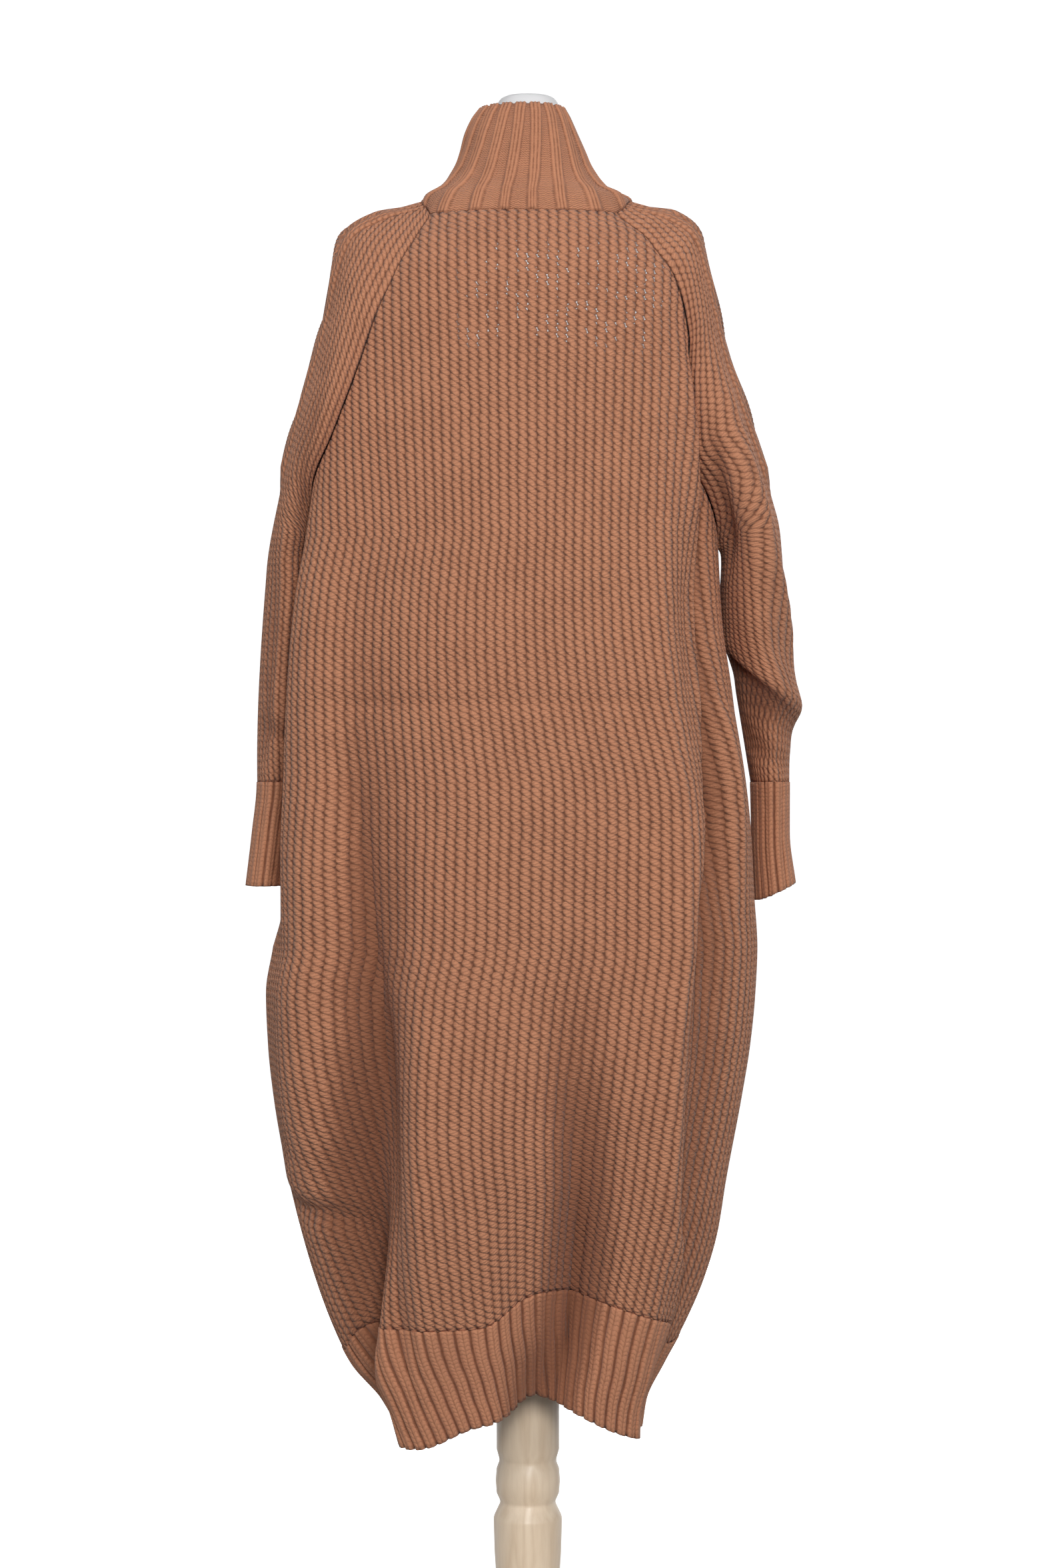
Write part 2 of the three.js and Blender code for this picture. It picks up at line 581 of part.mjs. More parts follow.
function capRow(side, cap, step, first, second, turns) {
  const out = new THREE.Vector3(
    side * smooth(cap, 'step', 'out_x', step),
    smooth(cap, 'step', 'y', step),
    smooth(cap, 'step', 'out_z', step));
  const sweep = smooth(cap, 'step', 'sweep', step) * RADIANS;
  const depth = smooth(cap, 'step', 'half_depth', step);
  const inward = first.clone().add(second).multiplyScalar(0.5).sub(out);
  inward.y = 0;
  const reach = smooth(cap, 'step', 'reach', step);
  const half = (reach * inward.length()) / (1 - Math.cos(sweep));
  inward.normalize();
  const arc = (turn) => out.clone()
    .addScaledVector(inward, half * (1 - Math.cos(sweep * turn)))
    .add(new THREE.Vector3(0, side * depth * Math.sin(sweep * turn), 0));
  const firstMiss = first.clone().sub(arc(-1));
  const secondMiss = second.clone().sub(arc(1));
  const power = MISS_POWER + EARLY_TURN_POWER * (1 - reach);
  return turns.map((turn) => arc(turn)
    .addScaledVector(turn < 0 ? firstMiss : secondMiss, Math.abs(turn) ** power));
}

function sleeveGrid(side, cap, arm, firstSeam, secondSeam) {
  const rows = ARM_ROWS_Z.map((z) => armRow(side, arm, z, SLEEVE_TURNS));
  for (const step of CAP_STEPS) {
    const share = step / RAGLAN_STEPS;
    rows.push(capRow(side, cap, step,
      pointOn(firstSeam, share), pointOn(secondSeam, share), SLEEVE_TURNS));
  }
  return rows;
}

// How far the cable stands out: a pair of cords swings to and fro across the outer line, and a
// mirrored pair crosses it.
function cableHeight(across, down) {
  if (down < 0 || Math.abs(across) > CABLE.swing + CABLE.cord_half * 2) return 0;
  const swing = CABLE.swing * Math.sin((Math.PI * down) / CABLE.diamond);
  const cords = [swing, -swing, CABLE.swing, -CABLE.swing];
  const nearest = Math.min(...cords.map((x) => Math.abs(across - x)));
  return CABLE.height * bell(nearest / CABLE.cord_half);
}

function cableRelief(grid) {
  const middle = (SLEEVE_TURNS.length - 1) / 2;
  return (r, c) => {
    const z = grid[r][middle].z;
    if (z < CABLE.end_z || z > CABLE.top_z) return 0;
    let across = 0;
    const step = Math.sign(c - middle);
    for (let i = middle; i !== c; i += step) across += grid[r][i].distanceTo(grid[r][i + step]);
    return cableHeight(across * step, CABLE.top_z - z);
  };
}

// Points, or normals, spread evenly along the edge of a panel or sleeve. A trim's top row is
// made of them, so that it fits the edge it is knitted on to.
function spread(edge, count) {
  return Array.from({ length: count }, (_, c) => pointOn(edge, c / (count - 1)));
}

function hemGrid(from, to, edge) {
  const columns = HEM_RIBS.per_panel * 2;
  const lower = [HEM_LOW_Z, (HEM_LOW_Z + HEM_SEAM_Z) / 2].map((z) => bodyRow(z, from, to, columns));
  return [...lower, spread(edge, columns + 1)];
}

function cuffGrid(side, arm, edge) {
  const columns = CUFF_RIBS.count * 2;
  const lower = [arm[0].z, (arm[0].z + CUFF_SEAM_Z) / 2].map((z) => {
    const even = evenAngles((turn) => armRow(side, arm, z, [turn])[0], -1, 1, columns);
    return armRow(side, arm, z, even);
  });
  return [...lower, spread(edge, columns + 1)];
}

function collarGrid(neckLine) {
  const columns = COLLAR_RIBS.count * 3;
  const baseZ = COLLAR_SECTIONS[0].z;
  const rows = [neckLine(columns)];
  for (const rise of COLLAR_RISES.slice(1)) {
    const angles = evenAngles((a) => {
      const p = ovalPoint(reachAt(COLLAR_SECTIONS, COLLAR_TOP_Z), COLLAR_SQUARENESS, a);
      return new THREE.Vector3(p.x, p.y, 0);
    }, 0, 360, columns).slice(0, -1);
    rows.push(angles.map((angle, c) => {
      const z = THREE.MathUtils.lerp(Math.max(rows[0][c].z, baseZ), COLLAR_TOP_Z, rise);
      const oval = ovalPoint(reachAt(COLLAR_SECTIONS, z), COLLAR_SQUARENESS, angle);
      return new THREE.Vector3(oval.x, oval.y, z);
    }));
  }
  return rows;
}

// A closed solid through rings, each fanned shut at the ends.
function loftedSolid(rings, bottom, top) {
  const cols = rings[0].length;
  const positions = rings.flat().flatMap((p) => [p.x, p.y, p.z]);
  positions.push(bottom.x, bottom.y, bottom.z, top.x, top.y, top.z);
  const bottomIndex = rings.length * cols;
  const index = [];
  for (let r = 0; r < rings.length - 1; r += 1) {
    for (let c = 0; c < cols; c += 1) {
      const next = (c + 1) % cols;
      index.push(r * cols + c, r * cols + next, (r + 1) * cols + next);
      index.push(r * cols + c, (r + 1) * cols + next, (r + 1) * cols + c);
    }
  }
  for (let c = 0; c < cols; c += 1) {
    const next = (c + 1) % cols;
    index.push(bottomIndex, next, c);
    index.push(bottomIndex + 1, (rings.length - 1) * cols + c, (rings.length - 1) * cols + next);
  }
  const geometry = new THREE.BufferGeometry();
  geometry.setAttribute('position', new THREE.Float32BufferAttribute(positions, 3));
  geometry.setIndex(index);
  return geometry;
}

function formGeometry() {
  const rings = FORM_SECTIONS.map((row) => {
    const reach = { left: row.half, right: row.half, back: row.back, front: row.front };
    const ring = [];
    for (let c = 0; c < FORM_COLUMNS; c += 1) {
      const oval = ovalPoint(reach, FORM_SQUARENESS, (360 * c) / FORM_COLUMNS);
      ring.push(new THREE.Vector3(oval.x, oval.y, row.z));
    }
    return ring;
  });
  return loftedSolid(rings,
    new THREE.Vector3(0, 0, FORM_BOTTOM_Z), new THREE.Vector3(0, 0, FORM_TOP_Z));
}

// A turned piece, closed on the axis at both ends of its outline.
function turnedGeometry(profile) {
  const outline = [
    { radius: 0, z: profile[0].z },
    ...profile,
    { radius: 0, z: profile.at(-1).z },
  ];
  const points = outline.map((row) => new THREE.Vector2(row.radius, row.z));
  const geometry = new THREE.LatheGeometry(points, LATHE_SEGMENTS);
  geometry.rotateX(Math.PI / 2);
  return geometry;
}

function finish(colour, roughness) {
  return new THREE.MeshStandardMaterial({ color: colour, roughness, metalness: 0 });
}

function addPiece(group, name, geometry, material) {
  const mesh = new THREE.Mesh(geometry, material);
  mesh.name = name;
  group.add(mesh);
}

// Seams. The panels and sleeves share their seam points, so the walls' edges are made to face
// each other squarely by giving both the mean of their two normals there.
function shareNormals(first, second) {
  first.forEach((normal, i) => {
    const mean = normal.clone().add(second[i]).normalize();
    normal.copy(mean);
    second[i].copy(mean);
  });
}

function buildDress(group) {
  const back = backGrid();
  const front = frontGrid();
  const raglanFrom = LOWER_ROWS_Z.length;
  const capFrom = ARM_ROWS_Z.length;
  const lastBack = BACK_COLUMNS;
  const lastFront = FRONT_COLUMNS;
  const seam = (grid, c) => columnOf(grid, c).slice(raglanFrom);
  const left = sleeveGrid(-1, LEFT_CAP, LEFT_ARM, seam(front, lastFront), seam(back, 0));
  const right = sleeveGrid(1, RIGHT_CAP, RIGHT_ARM, seam(back, lastBack), seam(front, 0));

  const normals = new Map([back, front, left, right].map((grid) => [grid, normalsOf(grid, false)]));
  const turnsLast = SLEEVE_TURNS.length - 1;
  const edge = (grid, c) => columnOf(normals.get(grid), c).slice(raglanFrom);
  const capEdge = (grid, c) => columnOf(normals.get(grid), c).slice(capFrom)
    .filter((_, i) => Number.isInteger(CAP_STEPS[i]));
  shareNormals(columnOf(normals.get(back), 0).slice(0, raglanFrom),
    columnOf(normals.get(front), lastFront).slice(0, raglanFrom));
  shareNormals(columnOf(normals.get(back), lastBack).slice(0, raglanFrom),
    columnOf(normals.get(front), 0).slice(0, raglanFrom));
  shareNormals(capEdge(left, 0), edge(front, lastFront));
  shareNormals(capEdge(left, turnsLast), edge(back, 0));
  shareNormals(capEdge(right, 0), edge(back, lastBack));
  shareNormals(capEdge(right, turnsLast), edge(front, 0));
  for (const sleeve of [left, right]) {
    const own = normals.get(sleeve);
    for (const c of [0, turnsLast]) {
      CAP_STEPS.forEach((step, i) => {
        const r = capFrom + i;
        if (!Number.isInteger(step)) own[r][c].copy(own[r - 1][c]).add(own[r + 1][c]).normalize();
      });
    }
    shareNormals(columnOf(own, 0).slice(0, capFrom), columnOf(own, turnsLast).slice(0, capFrom));
  }
  // At the underarm the cloth turns from the body into the sleeve, and faces straight down.
  for (const [grid, row, last] of [[back, raglanFrom, lastBack], [front, raglanFrom, lastFront],
    [left, capFrom, turnsLast], [right, capFrom, turnsLast]]) {
    normals.get(grid)[row][0].set(0, 0, -1);
    normals.get(grid)[row][last].set(0, 0, -1);
  }

  // The edges as drawn, before the pieces are parted, for the collar and the trims.
  const copyOf = (row) => row.map((point) => point.clone());
  const hemEdges = { back: copyOf(back[0]), front: copyOf(front[0]) };
  const hemNormals = { back: normals.get(back)[0], front: normals.get(front)[0] };
  const cuffEdges = { left: copyOf(left[0]), right: copyOf(right[0]) };
  const cuffNormals = { left: normals.get(left)[0], right: normals.get(right)[0] };
  const around = (rowOf) => [...rowOf(back), ...rowOf(right).slice(1), ...rowOf(front).slice(1),
    ...rowOf(left).slice(1)];
  const neck = around((grid) => copyOf(grid.at(-1)));
  const neckNormals = around((grid) => normals.get(grid).at(-1));

  for (const [grid, last] of [[back, lastBack], [front, lastFront], [left, turnsLast], [right, turnsLast]]) {
    pullIn(columnOf(grid, 0), columnOf(grid, 1), SEAM_GAP / 2);
    pullIn(columnOf(grid, last), columnOf(grid, last - 1), SEAM_GAP / 2);
    pullIn(grid[0], grid[1], TRIM_SEAM_GAP / 2);
    pullIn(grid.at(-1), grid.at(-2), NECK_SEAM_GAP / 2);
  }
  for (const [grid, row, last, way] of [[back, raglanFrom, lastBack, -1],
    [front, raglanFrom, lastFront, -1], [left, capFrom, turnsLast, 1], [right, capFrom, turnsLast, 1]]) {
    for (const corner of [grid[row][0], grid[row][last]]) {
      corner.x += Math.sign(corner.x) * way * SEAM_GAP / 2;
    }
  }

  const knit = () => finish(KNIT_COLOUR, 0.95);
  addPiece(group, 'back_panel', wallGeometry(back, normals.get(back), false), knit());
  addPiece(group, 'front_panel', wallGeometry(front, normals.get(front), false), knit());
  addPiece(group, 'sleeve_left', wallGeometry(left, normals.get(left), false, cableRelief(left)), knit());
  addPiece(group, 'sleeve_right', wallGeometry(right, normals.get(right), false, cableRelief(right)), knit());

  const hemRelief = (_, c) => (c % 2 === 1 ? HEM_RIBS.height : 0);
  for (const [name, from, to, fromSide] of [['back', -90, 90, -1], ['front', 90, 270, 1]]) {
    const grid = hemGrid(from, to, hemEdges[name]);
    const own = normalsOf(grid, false);
    own[own.length - 1] = spread(hemNormals[name], grid[0].length);
    const last = grid[0].length - 1;
    for (const row of [0, 1]) {
      own[row][0].set(fromSide, 0, 0);
      own[row][last].set(-fromSide, 0, 0);
    }
    pullIn(grid.at(-1), grid.at(-2), TRIM_SEAM_GAP / 2);
    pullIn(columnOf(grid, 0), columnOf(grid, 1), SEAM_GAP / 2);
    pullIn(columnOf(grid, last), columnOf(grid, last - 1), SEAM_GAP / 2);
    addPiece(group, `hem_${name}`, wallGeometry(grid, own, false, hemRelief), knit());
  }

  const cuffRelief = (_, c) => (c % 2 === 1 ? CUFF_RIBS.height : 0);
  for (const [name, side, arm] of [['left', -1, LEFT_ARM], ['right', 1, RIGHT_ARM]]) {
    const grid = cuffGrid(side, arm, cuffEdges[name]);
    pullIn(grid.at(-1), grid.at(-2), TRIM_SEAM_GAP / 2);
    const loop = grid.map((row) => row.slice(0, -1));
    const own = normalsOf(loop, true);
    own[own.length - 1] = spread(cuffNormals[name], grid[0].length).slice(0, -1);
    addPiece(group, `cuff_${name}`, wallGeometry(loop, own, true, cuffRelief), knit());
  }

  // The neck line runs from the left back seam round to it again. The collar starts at the centre back.
  const lengths = [0];
  for (let i = 1; i < neck.length; i += 1) lengths.push(lengths[i - 1] + neck[i].distanceTo(neck[i - 1]));
  const start = lengths[BACK_COLUMNS / 2];
  const total = lengths.at(-1);
  const neckAt = (list, distance) => {
    const target = distance % total;
    let i = 0;
    while (i < lengths.length - 2 && lengths[i + 1] < target) i += 1;
    return list[i].clone().lerp(list[i + 1], (target - lengths[i]) / (lengths[i + 1] - lengths[i]));
  };
  const evenly = (list, columns) => Array.from({ length: columns },
    (_, c) => neckAt(list, start + (total * c) / columns));
  const collar = collarGrid((columns) => evenly(neck, columns));
  const own = normalsOf(collar, true);
  own[0] = evenly(neckNormals, collar[0].length).map((normal) => normal.normalize());
  pullIn(collar[0], collar[1], NECK_SEAM_GAP / 2);
  const collarRelief = (_, c) => (c % 3 === 0 ? 0 : COLLAR_RIBS.height);
  addPiece(group, 'collar', wallGeometry(collar, own, true, collarRelief), knit());
}

const group = new THREE.Group();
buildDress(group);
addPiece(group, 'form_torso', formGeometry(), finish(FORM_COLOUR, 0.85));
addPiece(group, 'stand_post', turnedGeometry(POST_PROFILE), finish(WOOD_COLOUR, 0.55));
addPiece(group, 'stand_base', turnedGeometry(BASE_PROFILE), finish(WOOD_COLOUR, 0.55));

export default group;
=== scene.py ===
import bmesh
import bpy
import numpy as np
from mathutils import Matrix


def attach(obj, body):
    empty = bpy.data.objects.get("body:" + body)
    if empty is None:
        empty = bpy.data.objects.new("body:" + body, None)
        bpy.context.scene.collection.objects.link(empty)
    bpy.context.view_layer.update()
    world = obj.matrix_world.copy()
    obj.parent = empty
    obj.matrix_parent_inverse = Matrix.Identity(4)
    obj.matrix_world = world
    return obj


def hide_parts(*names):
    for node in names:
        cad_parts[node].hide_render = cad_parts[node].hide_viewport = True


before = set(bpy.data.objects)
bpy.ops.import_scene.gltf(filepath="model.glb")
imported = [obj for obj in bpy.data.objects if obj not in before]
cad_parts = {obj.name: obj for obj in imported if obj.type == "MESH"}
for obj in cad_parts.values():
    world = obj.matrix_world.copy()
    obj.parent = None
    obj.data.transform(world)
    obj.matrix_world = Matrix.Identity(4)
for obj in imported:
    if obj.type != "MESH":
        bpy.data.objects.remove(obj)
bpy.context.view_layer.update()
scene = bpy.context.scene


# The photograph's view: level, straight at the back of the dress, at the height of its waist.
CAMERA_PLACE = (-0.0053, -3.4, 0.95)
HALF_FRAME_HEIGHT = 0.7762
SENSOR_HEIGHT = 24.0

camera = bpy.data.objects.new("camera", bpy.data.cameras.new("camera"))
camera.data.sensor_fit = "VERTICAL"
camera.data.sensor_height = SENSOR_HEIGHT
camera.data.lens = SENSOR_HEIGHT * -CAMERA_PLACE[1] / (2 * HALF_FRAME_HEIGHT)
camera.location = CAMERA_PLACE
camera.rotation_euler = (np.pi / 2, 0, 0)
scene.collection.objects.link(camera)
scene.camera = camera
scene.view_settings.view_transform = "Standard"


# The studio: a pale floor that turns up into a white wall all round, so that it shows no
# horizon. The main soft light stands above the camera, and weaker ones to its left and right,
# overhead and behind the dress. The paper is lit by itself, and its glow is kept off the dress,
# which would look flat in it.
FLOOR_RADIUS = 5.5
WALL_RADIUS = 8.0
WALL_HEIGHT = 7.0
PAPER_COLOUR = (0.8, 0.8, 0.81, 1)
FLOOR_GLOW = (0.62, 0.62, 0.62, 1)
WALL_GLOW = (1.0, 1.0, 1.0, 1)
SOFT_LIGHTS = [
    # name, place, width, power
    ("left", (-3.3, -3.2, 2.1), 1.5, 29.0),
    ("right", (3.3, -3.2, 2.1), 1.5, 33.0),
    ("front", (0.3, -4.4, 2.1), 1.3, 119.0),
    ("overhead", (0.0, -0.6, 4.2), 2.4, 24.0),
    ("behind", (0.6, 3.6, 2.2), 3.0, 95.0),
]
AMBIENT = 0.055
DRESS_MIDDLE = (0.0, 0.0, 0.95)


class Signal:
    """A value in a material that arithmetic can be written on."""

    def __init__(self, finish, socket):
        self.finish = finish
        self.socket = socket

    def maths(self, operation, *values):
        return self.finish.node("ShaderNodeMath", {"operation": operation}, dict(enumerate(values)))

    def __add__(self, other):
        return self.maths("ADD", self, other)

    def __sub__(self, other):
        return self.maths("SUBTRACT", self, other)

    def __rsub__(self, other):
        return self.maths("SUBTRACT", other, self)

    def __mul__(self, other):
        return self.maths("MULTIPLY", self, other)

    def __pow__(self, other):
        return self.maths("POWER", self, other)

    def __abs__(self):
        return self.maths("ABSOLUTE", self)

    __radd__ = __add__
    __rmul__ = __mul__

    def within(self, low, high):
        """0 below low, 1 above high and a soft step between them."""
        settings = {"interpolation_type": "SMOOTHSTEP"}
        return self.finish.node("ShaderNodeMapRange", settings, {0: self, 1: low, 2: high})


class Finish:
    """A material as it is built up, from its Principled shader back."""

    def __init__(self, name, roughness, **constants):
        self.material = bpy.data.materials.new(name)
        self.material.use_nodes = True
        self.tree = self.material.node_tree
        self.shader = self.tree.nodes["Principled BSDF"]
        self.set(Roughness=roughness, **constants)

    def feed(self, socket, value):
        if isinstance(value, Signal):
            self.tree.links.new(value.socket, socket)
        else:
            socket.default_value = value

    def node(self, kind, settings, inputs, output=0):
        node = self.tree.nodes.new(kind)
        for key, value in settings.items():
            setattr(node, key, value)
        for key, value in inputs.items():
            self.feed(node.inputs[key], value)
        return Signal(self, node.outputs[output])

    def set(self, **values):
        for key, value in values.items():
            self.feed(self.shader.inputs[key.replace("_", " ")], value)

    def mix(self, share, first, second):
        """One colour turning into another."""
        return self.node("ShaderNodeMix", {"data_type": "RGBA"}, {0: share, 6: first, 7: second}, 2)

    def noise(self, place, scale, detail=2.0):
        inputs = {"Vector": place, "Scale": scale, "Detail": detail}
        return self.node("ShaderNodeTexNoise", {}, inputs)

    def coordinates(self, kind):
        return self.node("ShaderNodeTexCoord", {}, {}, kind)

    def split(self, vector):
        parts = self.node("ShaderNodeSeparateXYZ", {}, {"Vector": vector}).socket.node.outputs
        return (Signal(self, part) for part in parts)

    def raised(self, height, distance):
        inputs = {"Height": height, "Distance": distance, "Strength": 1.0}
        self.set(Normal=self.node("ShaderNodeBump", {}, inputs))


def turned(outline, steps):
    """A shape turned about the upright axis from points (radius, height)."""
    shape = bmesh.new()
    line = [shape.verts.new((radius, 0, height)) for radius, height in outline]
    edges = [shape.edges.new(pair) for pair in zip(line, line[1:])]
    bmesh.ops.spin(
        shape, geom=line + edges, cent=(0, 0, 0), axis=(0, 0, 1),
        angle=2 * np.pi, steps=steps, use_merge=True)
    bmesh.ops.remove_doubles(shape, verts=shape.verts, dist=1e-6)
    bmesh.ops.recalc_face_normals(shape, faces=shape.faces)
    return shape


def show(name, shape, finish):
    """Turns a finished shape into a smooth object with its material."""
    mesh = bpy.data.meshes.new(name)
    for face in shape.faces:
        face.smooth = True
    shape.to_mesh(mesh)
    shape.free()
    mesh.materials.append(finish.material)
    piece = bpy.data.objects.new(name, mesh)
    scene.collection.objects.link(piece)
    return piece


turn_up = [
    (FLOOR_RADIUS + (WALL_RADIUS - FLOOR_RADIUS) * np.sin(turn),
     (WALL_RADIUS - FLOOR_RADIUS) * (1 - np.cos(turn)))
    for turn in np.linspace(0, np.pi / 2, 13)
]
paper = Finish("studio_paper", 0.9, Base_Color=PAPER_COLOUR, Emission_Strength=1.0)
off = paper.node(
    "ShaderNodeVectorMath", {"operation": "LENGTH"}, {0: paper.coordinates("Object")}, "Value")
paper.set(Emission_Color=paper.mix(off.within(0.4, 2.2), FLOOR_GLOW, WALL_GLOW))
sweep = show("studio_sweep", turned([(0, 0), *turn_up, (WALL_RADIUS, WALL_HEIGHT)], 96), paper)
sweep.visible_diffuse = False
sweep.visible_shadow = False

for name, place, width, power in SOFT_LIGHTS:
    light = bpy.data.objects.new(name, bpy.data.lights.new(name, "AREA"))
    light.data.size = width
    light.data.energy = power
    light.location = place
    towards = np.subtract(DRESS_MIDDLE, place)
    light.rotation_euler = (
        np.arctan2(np.hypot(towards[0], towards[1]), -towards[2]),
        0,
        np.arctan2(-towards[0], towards[1]))
    scene.collection.objects.link(light)

scene.world = bpy.data.worlds.new("studio")
scene.world.use_nodes = True
scene.world.node_tree.nodes["Background"].inputs["Color"].default_value = (1, 1, 1, 1)
scene.world.node_tree.nodes["Background"].inputs["Strength"].default_value = AMBIENT


# The dress form: a limbless torso with a rounded neck, moulded as a hollow shell in matt white
# plastic. Only the top of its neck shows, above the collar.
def table(columns, *rows):
    """Rows of numbers, as one array for each named column."""
    return dict(zip(columns.split(), np.array(rows, float).T))


def smooth(rows, name, at, key="z"):
    """A column read between its rows, through every one and with no overshoot."""
    x, y = rows[key], rows[name]
    slope = np.diff(y) / np.diff(x)
    before, after = slope[:-1], slope[1:]
    same = before * after > 0
    turn = np.where(same, 2 * before * after / np.where(same, before + after, 1), 0)
    slope = np.concatenate([slope[:1], turn, slope[-1:]])
    at = np.clip(at, x[0], x[-1])
    i = np.clip(np.searchsorted(x, at, side="right") - 1, 0, len(x) - 2)
    span = x[i + 1] - x[i]
    t = (at - x[i]) / span
    rise = t * t * (3 - 2 * t)
    return (y[i] * (1 - rise) + y[i + 1] * rise
            + span * (t * (1 - t) ** 2 * slope[i] - t * t * (1 - t) * slope[i + 1]))


FORM_SECTIONS = table(
    "z half back front",
    (.872, .15, .096, .086),
    (.88, .16, .104, .094),
    (.94, .168, .11, .1),
    (1.01, .162, .106, .1),
    (1.08, .138, .088, .096),
    (1.145, .122, .078, .092),
    (1.205, .13, .084, .1),
    (1.27, .148, .096, .118),
    (1.33, .16, .102, .114),
    (1.39, .166, .103, .098),
    (1.44, .167, .097, .088),
    (1.475, .164, .084, .078),
    (1.5, .151, .062, .055),
    (1.512, .118, .048, .042),
    (1.522, .084, .051, .051),
    (1.534, .064, .055, .055),
    (1.556, .055, .055, .055),
    (1.575, .05, .052, .052),
    (1.59, .044, .046, .046),
    (1.604, .0365, .038, .038),
    (1.617, .0325, .032, .032),
    (1.628, .026, .026, .026),
)
FORM_TOP = 1.633
FORM_SQUARENESS = 0.88
FORM_COLOUR = (0.83, 0.83, 0.84, 1)


def oval(left, right, back, front, angle, squareness):
    """x and y on a rounded section, at angles in degrees from the centre back."""
    across = np.sin(np.radians(angle))
    along = np.cos(np.radians(angle))
    x = np.where(across > 0, right, -left) * np.abs(across) ** squareness
    y = np.where(along > 0, -back, front) * np.abs(along) ** squareness
    return x, y


def place_points(shape, places):
    for point, place in zip(shape.verts, places):
        point.co = place


torso = bmesh.new()
bmesh.ops.create_uvsphere(torso, u_segments=72, v_segments=84, radius=1)
ball = np.array([point.co for point in torso.verts])
bottom = FORM_SECTIONS["z"][0]
closed_form = table(
    "z half back front",
    (bottom, 0, 0, 0), *zip(*FORM_SECTIONS.values()), (FORM_TOP, 0, 0, 0))
closed_form["row"] = np.arange(len(closed_form["z"]), dtype=float)
row = np.arccos(np.clip(-ball[:, 2], -1, 1)) / np.pi * closed_form["row"][-1]
half, back, front, height = (
    smooth(closed_form, name, row, "row") for name in ("half", "back", "front", "z"))
turn = np.degrees(np.arctan2(ball[:, 0], -ball[:, 1]))
x, y = oval(half, half, back, front, turn, FORM_SQUARENESS)
rim = np.hypot(ball[:, 0], ball[:, 1]) < 1e-6
place_points(torso, np.stack([np.where(rim, 0, x), np.where(rim, 0, y), height], 1))

moulded = Finish("moulded_form", 0.62, Specular_IOR_Level=0.35)
skin = moulded.coordinates("Object")
moulded.set(
    Base_Color=moulded.mix(moulded.noise(skin, 9.0), FORM_COLOUR, (0.76, 0.76, 0.775, 1)),
    Roughness=0.56 + 0.12 * moulded.noise(skin, 40.0))
moulded.raised(moulded.noise(skin, 700.0, 3.0), 0.0001)
form = show("dress_form", torso, moulded)
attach(form, "root")
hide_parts("form_torso")


# The stand: a post turned from pale wood, with a bead and a groove below the skirt, let into a
# round turned foot, both sanded and oiled to a satin finish.
POST_PROFILE = table(
    "radius z",
    (.046, .0304),
    (.05, .0374),
    (.047, .0454),
    (.034, .0524),
    (.027, .0744),
    (.029, .13),
    (.033, .19),
    (.034, .225),
    (.027, .24),
    (.031, .249),
    (.032, .261),
    (.031, .273),
    (.028, .281),
    (.031, .292),
    (.031, .8716),
)
BASE_PROFILE = table(
    "radius z",
    (.189, 0),
    (.195, .006),
    (.195, .014),
    (.187, .022),
    (.171, .027),
    (.07, .03),
)
TURNING_STEPS = 64
ARRIS = 0.0022
WOOD_LIGHT = (0.9, 0.73, 0.54, 1)
WOOD_DARK = (0.77, 0.59, 0.41, 1)


def wood(name, grain_stretch):
    """Oiled pale wood with its grain along one axis."""
    oiled = Finish(name, 0.45, Coat_Roughness=0.35)
    place = oiled.node("ShaderNodeMapping", {}, {
        "Vector": oiled.coordinates("Object"), "Scale": grain_stretch})
    figure = oiled.noise(place, 4.0, 2.0) * 9.0
    fine = oiled.noise(place, 60.0, 3.0)
    bands = abs(figure.maths("FRACT", figure) - 0.5) * 2
    grain = (bands * 0.45 + fine * 0.6).within(0.15, 1.0)
    oiled.set(
        Base_Color=oiled.mix(grain, WOOD_LIGHT, WOOD_DARK),
        Roughness=0.38 + 0.2 * grain,
        Coat_Weight=0.15 + 0.1 * fine)
    oiled.raised(grain * 0.4 + fine * 0.6, 0.00025)
    return oiled


def turned_wood(name, profile, finish, node):
    """A turned piece with its edges eased, which stands for a node."""
    outline = list(zip(profile["radius"], profile["z"]))
    shape = turned([(0, outline[0][1]), *outline, (0, outline[-1][1])], TURNING_STEPS)
    sharp = [edge for edge in shape.edges if edge.calc_face_angle(0) > 0.45]
    bmesh.ops.bevel(
        shape, geom=sharp, offset=ARRIS, segments=3, profile=0.5, affect="EDGES",
        clamp_overlap=True, material=-1)
    piece = show(name, shape, finish)
    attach(piece, "root")
    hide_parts(node)


turned_wood("turned_post", POST_PROFILE, wood("post_wood", (6.0, 6.0, 0.7)), "stand_post")
turned_wood("round_foot", BASE_PROFILE, wood("foot_wood", (1.0, 7.0, 7.0)), "stand_base")


